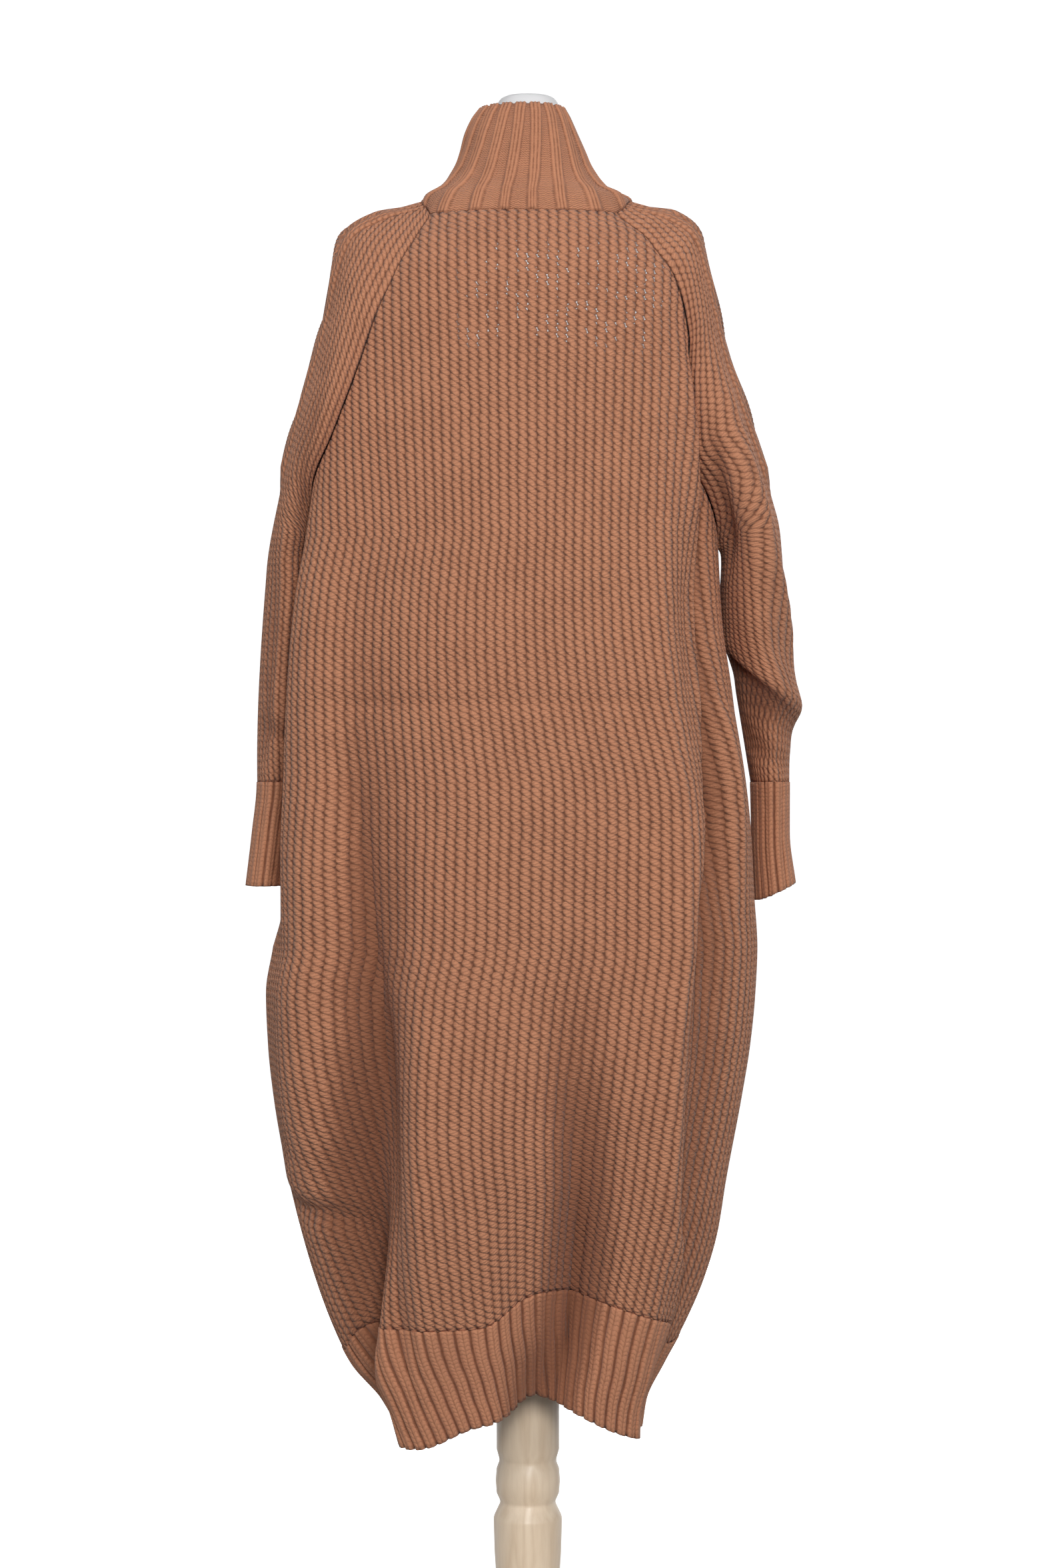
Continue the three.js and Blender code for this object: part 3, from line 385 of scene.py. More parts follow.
# The back panel: one shaped piece of half-cardigan rib in thick camel wool, knitted upwards from
# the hem band. Its edges are linked to the front at the sides and to the sleeves at the raglans.
WALL = 0.003
BODY_SECTIONS = table(
    "z left right back front",
    (.314, .129, .112, .122, .104),
    (.345, .146, .117, .128, .109),
    (.38, .175, .134, .134, .115),
    (.42, .194, .155, .142, .123),
    (.465, .21, .174, .148, .131),
    (.51, .223, .187, .153, .138),
    (.56, .235, .195, .158, .145),
    (.64, .25, .21, .162, .152),
    (.695, .256, .219, .163, .155),
    (.745, .258, .224, .163, .157),
    (.79, .251, .226, .162, .158),
    (.84, .245, .223, .161, .158),
    (.9, .243, .22, .158, .158),
    (.95, .243, .215, .156, .158),
    (1.03, .242, .202, .151, .156),
    (1.105, .24, .189, .146, .153),
    (1.19, .234, .184, .139, .146),
    (1.281, .22, .18, .13, .136),
    (1.366, .202, .178, .122, .124),
    (1.406, .192, .177, .118, .117),
    (1.442, .178, .173, .111, .107),
    (1.474, .152, .157, .1, .096),
    (1.503, .116, .112, .084, .084),
)
SECTION_SQUARENESS = 0.8
NORMAL_STEP = 1.5


def fall(*rows):
    """A fold that runs down the cloth: where it lies at each height, how wide it is before and
    after that line, and how far it stands out."""
    return table("z at before after depth", *rows)


def pinch(*rows):
    """A fold that runs across the cloth: its height at each place along it, its width below and
    above that line, and how far it stands out."""
    return table("at z before after depth", *rows)


BODY_FOLDS = [
    # the deep fall between the left side and the left half of the back
    fall(
        (.314, -72, 12, 7, -.016), (.375, -61, 13, 7, -.03), (.43, -51, 13, 8, -.042),
        (.5, -43, 13, 8, -.046), (.56, -38, 13, 9, -.043), (.64, -34, 13, 10, -.035),
        (.72, -31, 13, 11, -.027), (.87, -33, 14, 14, -.016), (1.03, -36, 15, 15, -.009),
        (1.19, -36, 15, 15, -.004), (1.3, -36, 15, 15, 0),
    ),
    # the left half of the back, which swings out at the hem
    fall(
        (.314, -46, 12, 20, .027), (.375, -42, 12, 19, .022), (.43, -37, 11, 18, .015),
        (.5, -28, 10, 17, .01), (.72, -18, 12, 15, .004), (1.0, -18, 14, 14, 0),
    ),
    # the fold that parts the two halves of the back at the hem
    fall(
        (.314, 0, 7, 14, -.052), (.375, 4, 7, 13, -.044), (.43, 7, 7, 13, -.034),
        (.5, 9, 8, 13, -.026), (.56, 10, 8, 12, -.019), (.64, 9, 9, 12, -.012),
        (.72, 8, 10, 12, -.007), (.9, 6, 12, 12, 0),
    ),
    # the standing edge down the right of the back
    fall(
        (.314, 47, 17, 14, .02), (.375, 43, 16, 12, .017), (.43, 39, 14, 10, .013),
        (.56, 36, 13, 8, .011), (.8, 35, 13, 8, .009), (1.1, 38, 12, 7, .009),
        (1.3, 43, 12, 8, .005), (1.4, 45, 11, 10, 0),
    ),
    # the fall beyond that edge, deepest behind the right arm
    fall(
        (.375, 67, 10, 13, -.007), (.5, 59, 9, 12, -.013), (.72, 53, 9, 11, -.015),
        (.87, 51, 8, 10, -.018), (.95, 51, 8, 10, -.022), (1.12, 55, 8, 10, -.021),
        (1.2, 59, 8, 10, -.012), (1.29, 63, 8, 10, 0),
    ),
    # the back, standing out beside the left arm
    fall(
        (.79, -64, 10, 16, 0), (.84, -64, 10, 16, .01), (.9, -64, 10, 16, .016),
        (1.01, -63, 10, 16, .018), (1.13, -61, 9, 15, .016), (1.172, -60, 9, 14, .013),
        (1.217, -59, 9, 14, .008), (1.262, -55, 9, 13, .003), (1.33, -52, 9, 12, 0),
    ),
    # the hollow in the left side, where the sleeve hangs
    fall(
        (.79, -104, 24, 26, 0), (.85, -104, 24, 26, -.016), (.95, -104, 26, 27, -.033),
        (1.07, -104, 26, 28, -.042), (1.17, -100, 26, 29, -.04), (1.215, -96, 26, 27, -.028),
        (1.29, -90, 24, 18, 0),
    ),
    # soft falls in the front: on the left,
    fall(
        (.314, -136, 15, 13, .014), (.43, -138, 14, 12, .012), (.72, -140, 14, 14, .007),
        (1.05, -142, 14, 14, 0),
    ),
    # on the right
    fall(
        (.314, 138, 13, 15, .014), (.43, 140, 12, 14, .012), (.72, 142, 14, 14, .008),
        (1.08, 144, 14, 14, 0),
    ),
    # and at the centre
    fall(
        (.314, 176, 11, 14, -.024), (.43, 174, 11, 14, -.018), (.64, 172, 13, 13, -.009),
        (.9, 172, 13, 13, 0),
    ),
]
BODY_CREASES = [
    # the left fall again, wider below, and the edge that stands up beside it
    fall(
        (.33, -64, 14, 12, 0), (.41, -60, 14, 13, -.018), (.49, -54, 14, 13, -.024),
        (.56, -47, 13, 11, -.022), (.63, -38, 9, 8, -.018), (.7, -34, 8, 6, -.014),
        (.8, -37, 7, 6, -.009), (.9, -40, 7, 7, -.006), (1.0, -43, 8, 9, -.004),
        (1.2, -44, 10, 9, 0),
    ),
    fall(
        (.34, -38, 5, 3, 0), (.42, -32, 5, 3, -.008), (.5, -30, 5, 3, -.012),
        (.586, -28, 5, 2.5, -.014), (.649, -28, 5, 2.5, -.016), (.706, -29, 5, 2.5, -.015),
        (.763, -32, 5, 3, -.013), (.82, -36.5, 5, 3, -.01), (.909, -39.5, 4, 4, -.005),
        (1.0, -43, 5, 5, 0),
    ),
    # the left side of the skirt, full above its pinch
    fall(
        (.54, -62, 12, 10, 0), (.63, -58, 12, 10, .012), (.74, -54, 12, 10, .016),
        (.86, -54, 12, 10, .01), (.96, -54, 12, 10, 0),
    ),
    fall(
        (.33, -30, 5, 7, 0), (.43, -23, 4, 8, .008), (.55, -20, 4, 8, .011),
        (.65, -19, 4, 8, .011), (.8, -19, 5, 8, .005), (.95, -22, 5, 7, 0),
    ),
    # the fall at the centre, and the edge on its left
    fall(
        (.314, 14, 4, 7, -.006), (.43, 13, 5, 7, -.022), (.5, 12, 5, 7, -.025),
        (.58, 11, 5, 7, -.019), (.66, 8, 5, 8, -.011), (.8, 5, 6, 8, 0),
    ),
    fall(
        (.4, 0, 5, 4, 0), (.5, 1, 5, 4, .005), (.62, -1, 5, 4, .004), (.76, -2, 5, 5, 0),
    ),
    # the standing edge down the right, and the crease behind it
    fall(
        (.36, 60, 7, 5, 0), (.43, 57, 7, 4, .004), (.55, 39, 7, 3.5, .009), (.7, 34, 7, 3.5, .01),
        (.81, 37, 8, 3.5, .011), (.93, 47, 9, 3.5, .014), (1.06, 54.5, 9, 3.5, .017),
        (1.19, 57.5, 9, 3.5, .017), (1.31, 55, 8, 3.5, .012), (1.4, 52, 8, 4, 0),
    ),
    fall(
        (.43, 64, 4, 8, 0), (.55, 48, 4, 9, -.01), (.7, 42.5, 4, 9, -.014),
        (.81, 43.5, 3.5, 8, -.016), (.93, 53.5, 3, 6, -.018), (1.06, 61, 3, 6, -.018),
        (1.19, 64, 3, 6, -.018), (1.31, 61, 3, 6, -.012), (1.38, 59, 4, 6, 0),
    ),
    # a short fold that breaks out of that crease at the elbow's height
    fall(
        (.8, 60, 6, 7, 0), (.86, 58, 5, 5, -.008), (.91, 57, 4.5, 4.5, -.016),
        (.947, 57, 4.5, 4.5, -.018), (.99, 58.5, 4, 5, -.01), (1.03, 59, 4, 5, 0),
    ),
    fall(
        (.82, 68, 5, 7, 0), (.9, 67, 5, 6, .006), (.96, 67, 5, 6, .009), (1.0, 68, 5, 5, .007),
        (1.035, 70, 5, 5, 0),
    ),
    # slack in the middle of the back
    fall(
        (.64, -8, 6, 8, 0), (.8, -6, 7, 8, .003), (1.0, -10, 8, 9, .003), (1.25, -14, 9, 9, 0),
    ),
    fall(
        (.7, 20, 8, 8, 0), (.86, 22, 8, 8, -.003), (1.1, 25, 8, 8, -.002), (1.3, 26, 8, 8, 0),
    ),
    fall(
        (.72, -50, 7, 7, 0), (.9, -48, 7, 7, .003), (1.1, -49, 7, 8, .003), (1.25, -50, 7, 8, 0),
    ),
    # the right side, full beside the arm
    fall(
        (1.02, 84, 12, 14, 0), (1.09, 84, 12, 14, .003), (1.19, 84, 12, 14, .003),
        (1.24, 84, 12, 14, 0),
    ),
    # falls in the front and the sides, of the same kind
    fall(
        (.35, 158, 6, 8, 0), (.5, 160, 6, 9, -.009), (.75, 158, 7, 9, -.005), (1.0, 155, 8, 9, 0),
    ),
    fall(
        (.34, -160, 7, 6, 0), (.46, -157, 7, 5, -.011), (.68, -155, 8, 6, -.007),
        (.95, -152, 8, 8, 0),
    ),
    fall(
        (.46, -118, 7, 6, 0), (.68, -122, 8, 6, -.012), (.88, -118, 8, 7, -.008),
        (1.12, -112, 8, 8, 0),
    ),
    fall(
        (.4, 112, 6, 8, 0), (.6, 120, 6, 9, -.012), (.84, 116, 7, 9, -.007), (1.06, 110, 8, 9, 0),
    ),
    fall(
        (1.08, 152, 8, 8, 0), (1.2, 148, 8, 7, -.004), (1.31, 142, 7, 6, -.006),
        (1.4, 136, 7, 7, 0),
    ),
    fall(
        (1.14, -154, 8, 8, 0), (1.24, -149, 7, 8, -.003), (1.34, -142, 6, 7, -.005),
        (1.41, -137, 7, 7, 0),
    ),
]
BODY_PINCHES = [
    # a pinch in the left side, and the cloth that sags over it
    pinch(
        (-84, .546, .012, .008, 0), (-73, .539, .013, .007, -.009), (-62, .535, .013, .007, -.011),
        (-54, .531, .012, .008, -.005), (-46, .527, .012, .01, 0),
    ),
    pinch(
        (-86, .57, .012, .024, 0), (-66, .559, .011, .022, .005), (-48, .552, .012, .022, 0),
    ),
    # a faint line across the back, where the knitting was folded in its box
    pinch(
        (-58, 1.031, .009, .006, 0), (-46, 1.03, .009, .005, -.0022),
        (0, 1.0285, .009, .005, -.0026), (34, 1.03, .009, .005, -.0022),
        (44, 1.031, .009, .006, 0),
    ),
    # cloth that sags in the front
    pinch(
        (104, .74, .02, .01, 0), (120, .73, .02, .009, -.007), (136, .718, .02, .012, 0),
    ),
    pinch(
        (-148, .61, .014, .01, 0), (-132, .624, .014, .008, -.006), (-118, .63, .014, .01, 0),
    ),
]
HEM_LIFTS = table(
    "at before after low high",
    (2, 6, 32, .042, .036),
    (-8, 22, 7, .022, .002),
    (-38, 14, 12, -.005, 0),
    (-84, 30, 14, 0, -.036),
    (74, 12, 30, .002, -.026),
    (178, 30, 30, .022, .02),
)
# Painted shade in the body's folds: the depth at which it starts, and the depth over which it grows
# by one step, up to two.
FOLD_SHADE_STARTS = 0.003
FOLD_SHADE_SPAN = 0.03
FAINT = 0.3
HEM_LOW_Z = 0.316
HEM_SEAM_Z = 0.43
LIFT_ENDS_Z = 0.69
UNDERARM_Z = 1.19
RAGLAN = table(
    "step back_z left_back right_back front_z left_front right_front dip",
    (0, 1.19, 90, 90, 1.19, 90, 90, 0),
    (1, 1.237, 70, 73, 1.235, 72, 74, 0),
    (2, 1.281, 57, 63, 1.278, 61, 63, 0),
    (3, 1.324, 52, 60, 1.32, 55, 57, 0),
    (4, 1.366, 48, 59, 1.362, 50, 52, 0),
    (5, 1.406, 45, 56, 1.4, 47, 48, .001),
    (6, 1.442, 42, 51, 1.436, 44, 45, .005),
    (7, 1.474, 43, 45, 1.468, 44, 44, .013),
    (8, 1.505, 52, 47, 1.499, 50, 48, .025),
)
RAGLAN_STEPS = 8
RAGLAN_RISE = 0.315
SEAM_FADE = 0.006
SEAM_SUNK = 0.0004
PANEL_WALES = 66
SHOULDER_STRETCH = 0.12
COURSE = 0.0067
POINTS_A_WALE = 4
ROW_GAP = 0.0053
ROW_SAMPLES = 361
# How far a wale stands out of the cloth, from the groove beside it to the next groove.
WALE_RELIEF = table("across out", (0, -.0005), (.25, .0002), (.5, .0006), (.75, .0002), (1, -.0005))
# Painted light and shade on the wool: the wool in the light, in the shade of a yarn's low side or of
# a fold, and in the shade deep between two stitches or in the deepest folds. The yarn's own random
# tone also moves between the first two.
WOOL_LIGHT = (0.6, 0.262, 0.142, 1)
WOOL_DARK = (0.35, 0.138, 0.07, 1)
WOOL_HOLLOW_SHADE = (0.19, 0.066, 0.031, 1)


def wrapped(angle):
    return (angle + 180) % 360 - 180


def bell(x):
    return np.exp(-x * x)


def reach(sections, z):
    return (smooth(sections, name, z) for name in ("left", "right", "back", "front"))


def folded(folds, centre, along, key, off_centre):
    """How far folds move the cloth out. Each is a soft ridge or trough, of its own width on
    either side of its centre line."""
    depth = 0
    for fold in folds:
        off = off_centre(smooth(fold, centre, along, key))
        half = np.where(
            off < 0, smooth(fold, "before", along, key), smooth(fold, "after", along, key))
        depth = depth + smooth(fold, "depth", along, key) * bell(off / half)
    return depth


def fold_depth(z, angle, creased=1.0):
    """How far the folds move the cloth of the body out of its section, with a share of its
    creases and, where they are whole, the pinches across it."""
    angle = wrapped(angle)
    falls = folded(BODY_FOLDS, "at", z, "z", lambda at: wrapped(angle - at))
    falls = falls + creased * folded(BODY_CREASES, "at", z, "z", lambda at: wrapped(angle - at))
    if creased == 1:
        falls = falls + folded(BODY_PINCHES, "z", angle, "at", lambda centre: z - centre)
    return falls


def hem_lift(z, angle):
    """How far the cloth is lifted in a fold near the hem."""
    in_band = np.clip((z - HEM_LOW_Z) / (HEM_SEAM_Z - HEM_LOW_Z), 0, 1)
    fade = np.clip((LIFT_ENDS_Z - z) / (LIFT_ENDS_Z - HEM_SEAM_Z), 0, 1)
    lift = 0
    for at, before, after, low, high in zip(*HEM_LIFTS.values()):
        off = wrapped(angle - at)
        lift = lift + (low + (high - low) * in_band) * bell(off / np.where(off < 0, before, after))
    return lift * fade * fade * (3 - 2 * fade)


def body_point(z, angle, creased=1.0):
    """The outer face of the dress's body at a height and an angle from the centre back."""
    x, y = oval(*reach(BODY_SECTIONS, z), angle, SECTION_SQUARENESS)
    before = np.stack(oval(*reach(BODY_SECTIONS, z), angle - NORMAL_STEP, SECTION_SQUARENESS))
    after = np.stack(oval(*reach(BODY_SECTIONS, z), angle + NORMAL_STEP, SECTION_SQUARENESS))
    along = (after - before) / np.linalg.norm(after - before, axis=0)
    depth = fold_depth(z, angle, creased)
    return np.stack([x + along[1] * depth, y - along[0] * depth, z], -1)


def body_rows(height, first, last, dip=0.0):
    """Finely sampled rows of the body between two angles: with faint creases, where the wales are
    spaced, then with whole ones, the angles, and the painted shade of each place, by how deep it lies
    in a fold. dip lowers the middle of a row."""
    share = np.linspace(0, 1, ROW_SAMPLES)
    angle = first[:, None] + (last - first)[:, None] * share
    low = height[:, None] - np.reshape(dip, (-1, 1)) * (1 - (2 * share - 1) ** 2)
    z = low + hem_lift(low, angle)
    painted_fold_shade = np.clip((-fold_depth(z, angle) - FOLD_SHADE_STARTS) / FOLD_SHADE_SPAN, 0, 2)
    return body_point(z, angle, FAINT), body_point(z, angle), angle, painted_fold_shade[..., None]


def unit(vectors):
    return vectors / np.maximum(np.linalg.norm(vectors, axis=-1, keepdims=True), 1e-12)


def outward(rows):
    """The cloth's outward direction at each point of rows that run anticlockwise, lowest first."""
    return unit(np.cross(np.gradient(rows, axis=1), np.gradient(rows, axis=0)))


def lengths(rows):
    """How far along its row each point lies."""
    step = np.linalg.norm(np.diff(rows, axis=1), axis=2)
    return np.concatenate([np.zeros((len(rows), 1)), np.cumsum(step, axis=1)], axis=1)


def at_lengths(rows, values, distance):
    """Values known at the points of rows, read at other distances along them."""
    found = np.empty(distance.shape + values.shape[2:])
    for new, known, length, wanted in zip(found, values, lengths(rows), distance):
        for axis in range(values.shape[2]):
            new[:, axis] = np.interp(wanted, length, known[:, axis])
    return found


def knitted(name, places, wale, course, finish, marks=()):
    """A knitted wall through a grid of places. wale and course count the stitches at each place,
    and go into the UV map. wale may hold two counts, for the cell after a place and the one
    before it."""
    rows, columns = places.shape[:2]
    shape = bmesh.new()
    bmesh.ops.create_grid(shape, x_segments=columns - 1, y_segments=rows - 1, size=1)
    place_points(shape, places.reshape(-1, 3))
    for mark, values in marks:
        layer = shape.verts.layers.float.new(mark)
        for point, value in zip(shape.verts, values.ravel()):
            point[layer] = value
    stitches = shape.loops.layers.uv.new("knit")
    wale = np.broadcast_to(wale if wale.ndim == 3 else wale[..., None], (rows, columns, 2))
    course = np.broadcast_to(course, (rows, columns))
    for index, cell in enumerate(shape.faces):
        r, c = divmod(index, columns - 1)
        corners = ((r, c, 0), (r, c + 1, 1), (r + 1, c + 1, 1), (r + 1, c, 0))
        for loop, (row, column, side) in zip(cell.loops, corners):
            loop[stitches].uv = (wale[row, column, side], course[row, column])
    bmesh.ops.remove_doubles(shape, verts=shape.verts, dist=2e-5)
    piece = show(name, shape, finish)
    wall = piece.modifiers.new("wall", "SOLIDIFY")
    wall.thickness = WALL
    wall.offset = -1
    return piece


def wool(finish, height, hollow, depth, sheer=0.0):
    """Colours and bump of thick woollen yarn, given how high the stitch stands, how hollow it is
    and how much of what is behind it shows. The colour holds painted shade: on a stitch's low parts,
    in its hollows, and where the pieces mark a fold, darkest in the deepest folds."""
    place = finish.coordinates("Object")
    patch = finish.noise(place, 26.0, 3.0).within(0.3, 0.7)
    fibre = finish.noise(place, 900.0, 4.0)
    hollow = hollow * (0.55 + 0.45 * finish.noise(place, 190.0).within(0.3, 0.65))
    # The fold mark: painted shade that the pieces carry in their folds and creases.
    fold = finish.node("ShaderNodeAttribute", {"attribute_name": "fold"}, {}, "Fac")
    # Painted shade by the stitch's height and the fold mark, with the yarn's own random tone from
    # patch and fibre.
    shade = (1 - height) * 0.85 + patch * 0.16 + (fibre - 0.5) * 1.1 + fold
    yarn = finish.mix(shade.within(0.0, 1.0), WOOL_LIGHT, WOOL_DARK)
    # Painted shade in the hollows between stitches, and darker still in the deepest folds.
    deep = hollow + (1 - hollow) * fold.within(1.0, 2.0) * 0.65
    finish.set(
        Base_Color=finish.mix(sheer, finish.mix(deep, yarn, WOOL_HOLLOW_SHADE), FORM_COLOUR),
        Roughness=0.8 + 0.15 * fibre)
    finish.raised(height - hollow * 0.4 + fibre * 0.16, depth)


def new_wool(name):
    return Finish(name, 0.9, Specular_IOR_Level=0.25, Sheen_Weight=0.12, Sheen_Roughness=0.5)


def wave(value):
    """0 at every whole number and 1 halfway between two."""
    return abs(value.maths("SINE", value * np.pi))


def half_cardigan(wale, course):
    """Rows of plump slanted stitches, with a hole at every corner between four."""
    across = wale.maths("FRACT", wale) - 0.5
    slanted = course + across * 0.75
    along = slanted.maths("FRACT", slanted) - 0.5
    off = across * across * 5.6 + along * along * 4.4
    plies = wave(course * 2 - across * 0.8)
    height = (1 - off.within(0.0, 2.2)) * (0.8 + 0.2 * plies)
    return height, off.within(1.0, 2.1) * 0.9 + (1 - plies) ** 3 * 0.16


def knit_map(finish, wobble):
    """The stitch counts that a knitted piece keeps in its UV map, a little uneven as in hand
    knitting."""
    stitch = finish.node("ShaderNodeUVMap", {"uv_map": "knit"}, {})
    wale, course, _ = finish.split(stitch)
    place = finish.coordinates("Object")
    wale = wale + (finish.noise(place, 70.0) - 0.5) * wobble
    course = course + (finish.noise(place, 17.0) - 0.5) * 1.3
    return wale, course + (finish.noise(place, 120.0) - 0.5) * 0.5


def sheer_at_shoulders(finish, hollow):
    """Where the form's white shows through a few of the holes, high on the back."""
    place = finish.coordinates("Object")
    x, y, z = finish.split(place)
    behind = y.within(-0.06, -0.08)
    near = (1 - abs(x - 0.035) * 9).within(0.0, 0.3) * (1 - abs(z - 1.42) * 17).within(0.0, 0.3)
    chosen = finish.noise(place, 70.0).within(0.53, 0.57)
    return hollow.within(0.55, 0.85) * near * chosen * behind


body_wool = new_wool("half_cardigan_wool")
height, hollow = half_cardigan(*knit_map(body_wool, 0.36))
wool(body_wool, height, hollow, 0.002, sheer_at_shoulders(body_wool, hollow))


def wale_relief(wale):
    return np.interp(wale % 1, WALE_RELIEF["across"], WALE_RELIEF["out"])


def panel(name, height, first, last, dip, middle):
    """A body panel. Its wales run straight up, and end one by one at the raglan seams."""
    plain, rows, angle, painted_fold_shade = body_rows(height, first, last, dip)
    length = lengths(plain)
    total = length[:, -1]
    at_middle = np.array([np.interp(middle, a, d) for a, d in zip(angle, length)])
    underarm = np.searchsorted(height, UNDERARM_Z - 1e-6)
    pitch = total / PANEL_WALES
    above = np.arange(len(height)) > underarm
    rise = (height - UNDERARM_Z) / (height[-1] - UNDERARM_Z)
    pitch = np.where(above, pitch[underarm] * (1 + SHOULDER_STRETCH * rise), pitch)
    middle_wale = np.where(above, at_middle[underarm] / pitch[underarm], at_middle / pitch)
    lowest = middle_wale - at_middle / pitch
    highest = lowest + total / pitch
    count = np.arange(PANEL_WALES * POINTS_A_WALE + 1) / POINTS_A_WALE
    wale = np.clip(count, lowest[:, None], highest[:, None])
    distance = np.clip((wale - lowest[:, None]) * pitch[:, None], 0, total[:, None])
    places = at_lengths(plain, rows, distance)
    normals = unit(at_lengths(plain, outward(rows), distance))
    from_edge = np.minimum(distance, total[:, None] - distance)
    fullness = np.clip(from_edge / SEAM_FADE, 0, 1)
    out = wale_relief(wale) * fullness - SEAM_SUNK * (1 - fullness)
    # The fold mark carries painted shade into the panel's colour, darker where the cloth lies deep in
    # a fold.
    marks = [("fold", at_lengths(plain, painted_fold_shade, distance))]
    piece = knitted(
        name, places + normals * out[..., None], wale, height[:, None] / COURSE, body_wool, marks)
    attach(piece, "root")
    return piece


lower_z = np.arange(HEM_SEAM_Z, UNDERARM_Z, ROW_GAP)
steps = np.linspace(0, RAGLAN_STEPS, int(RAGLAN_RISE / ROW_GAP))
square = np.full(len(lower_z), 90.0)


def raglan(name):
    return smooth(RAGLAN, name, steps, "step")


back = panel(
    "back_knit",
    np.concatenate([lower_z, raglan("back_z")]),
    np.concatenate([-square, -raglan("left_back")]),
    np.concatenate([square, raglan("right_back")]),
    0.0, 0.0)
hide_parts("back_panel")


front = panel(
    "front_knit",
    np.concatenate([lower_z, raglan("front_z")]),
    np.concatenate([square, 180 - raglan("right_front")]),
    np.concatenate([180 + square, 180 + raglan("left_front")]),
    np.concatenate([0 * square, raglan("dip")]), 180.0)
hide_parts("front_panel")


# The sleeves: raglan sleeves in the same rib, knitted from the cuff up. A pair of corded cables
# crosses into diamonds down the outside, from the neck to the elbow.
LEFT_CAP = table(
    "step out_x out_z sweep half_depth y reach",
    (0, .251, 1.21, 178, .076, .014, 0.8),
    (1, .239, 1.262, 160, .082, .008, 0.92),
    (2, .224, 1.317, 140, .088, .002, 1),
    (3, .208, 1.37, 124, .091, 0, 1),
    (4, .197, 1.416, 112, .09, 0, 1),
    (5, .19, 1.458, 102, .084, 0, 1),
    (6, .181, 1.491, 92, .074, 0, 1),
    (7, .149, 1.512, 76, .07, 0, 1),
    (8, .105, 1.525, 62, .06, 0, 1),
)
RIGHT_CAP = table(
    "step out_x out_z sweep half_depth y reach",
    (0, .247, 1.212, 178, .078, .01, 0.85),
    (1, .231, 1.266, 160, .084, .005, 0.92),
    (2, .213, 1.32, 140, .089, 0, 1),
    (3, .195, 1.372, 124, .092, 0, 1),
    (4, .184, 1.418, 112, .09, 0, 1),
    (5, .175, 1.46, 102, .084, 0, 1),
    (6, .167, 1.492, 92, .074, 0, 1),
    (7, .138, 1.514, 76, .07, 0, 1),
    (8, .102, 1.525, 62, .06, 0, 1),
)
LEFT_ARM = table(
    "z out_x half half_depth y tilt",
    (.849, .281, .019, .053, .036, 0),
    (.9, .275, .019, .052, .037, 0),
    (.952, .27, .02, .057, .038, 0),
    (.985, .27, .024, .067, .038, -.002),
    (1.025, .269, .025, .072, .037, 0),
    (1.08, .266, .025, .074, .033, 0),
    (1.13, .262, .025, .075, .026, 0),
    (1.172, .258, .022, .075, .02, 0),
)
RIGHT_ARM = table(
    "z out_x half half_depth y tilt",
    (.843, .267, .02, .053, .04, .009),
    (.9, .261, .018, .052, .04, .002),
    (.952, .261, .0185, .058, .04, 0),
    (.985, .262, .022, .06, .042, -.005),
    (1.014, .266, .027, .062, .043, -.013),
    (1.04, .272, .0325, .078, .035, -.018),
    (1.08, .262, .0335, .08, .03, -.012),
    (1.12, .256, .032, .081, .022, -.004),
    (1.172, .252, .0295, .08, .014, 0),
)
# Creases in the sleeves, by height and by distance from the outer line towards the second seam.
LEFT_CREASES = [
    fall(
        (.965, .05, .012, .012, 0), (1.0, .055, .012, .012, -.004), (1.1, .066, .012, .014, -.004),
        (1.2, .06, .014, .014, 0),
    ),
    fall(
        (.97, -.07, .016, .012, 0), (1.06, -.08, .016, .012, -.005), (1.17, -.09, .016, .014, 0),
    ),
    fall(
        (1.2, .1, .02, .012, 0), (1.3, .098, .018, .012, -.003), (1.4, .09, .016, .014, 0),
    ),
]
LEFT_PINCHES = [
    pinch(
        (-.14, 1.09, .01, .016, 0), (-.09, 1.078, .009, .016, -.005), (-.03, 1.07, .01, .016, 0),
    ),
    pinch(
        (.03, 1.01, .008, .014, 0), (.08, .998, .007, .014, -.004), (.13, .99, .008, .014, 0),
    ),
]
RIGHT_CREASES = [
    # the edge that runs slantwise down the back of the sleeve to the elbow
    fall(
        (1.05, -.03, .02, .02, 0), (1.1, -.045, .02, .02, .008), (1.18, -.08, .02, .018, .011),
        (1.25, -.086, .02, .016, .01), (1.316, -.082, .018, .014, .007),
        (1.4, -.075, .02, .016, 0),
    ),
    # the hollow between that edge and the body
    fall(
        (1.14, -.14, .012, .012, 0), (1.2, -.13, .012, .012, -.005),
        (1.28, -.115, .01, .012, -.006), (1.34, -.105, .01, .012, 0),
    ),
    fall(
        (1.0, .07, .014, .016, 0), (1.1, .08, .014, .016, -.005), (1.24, .09, .016, .018, 0),
    ),
]
RIGHT_PINCHES = [
    # the upper sleeve sags over the forearm at the elbow
    pinch(
        (-.2, 1.058, .012, .008, -.002), (-.15, 1.034, .014, .008, -.005),
        (-.1, 1.016, .016, .008, -.006), (-.05, 1.01, .016, .009, -.004),
        (0, 1.008, .016, .009, -.002), (.03, 1.008, .016, .01, 0),
    ),
    pinch(
        (-.2, 1.075, .014, .024, .001), (-.15, 1.052, .012, .024, .003),
        (-.1, 1.036, .011, .024, .004), (-.05, 1.03, .011, .024, .003),
        (0, 1.03, .011, .024, .001), (.04, 1.03, .01, .02, 0),
    ),
    pinch(
        (-.15, .988, .008, .01, 0), (-.09, .978, .007, .012, -.004), (-.02, .966, .008, .012, 0),
    ),
]
CUFF_SEAM_Z = 0.952
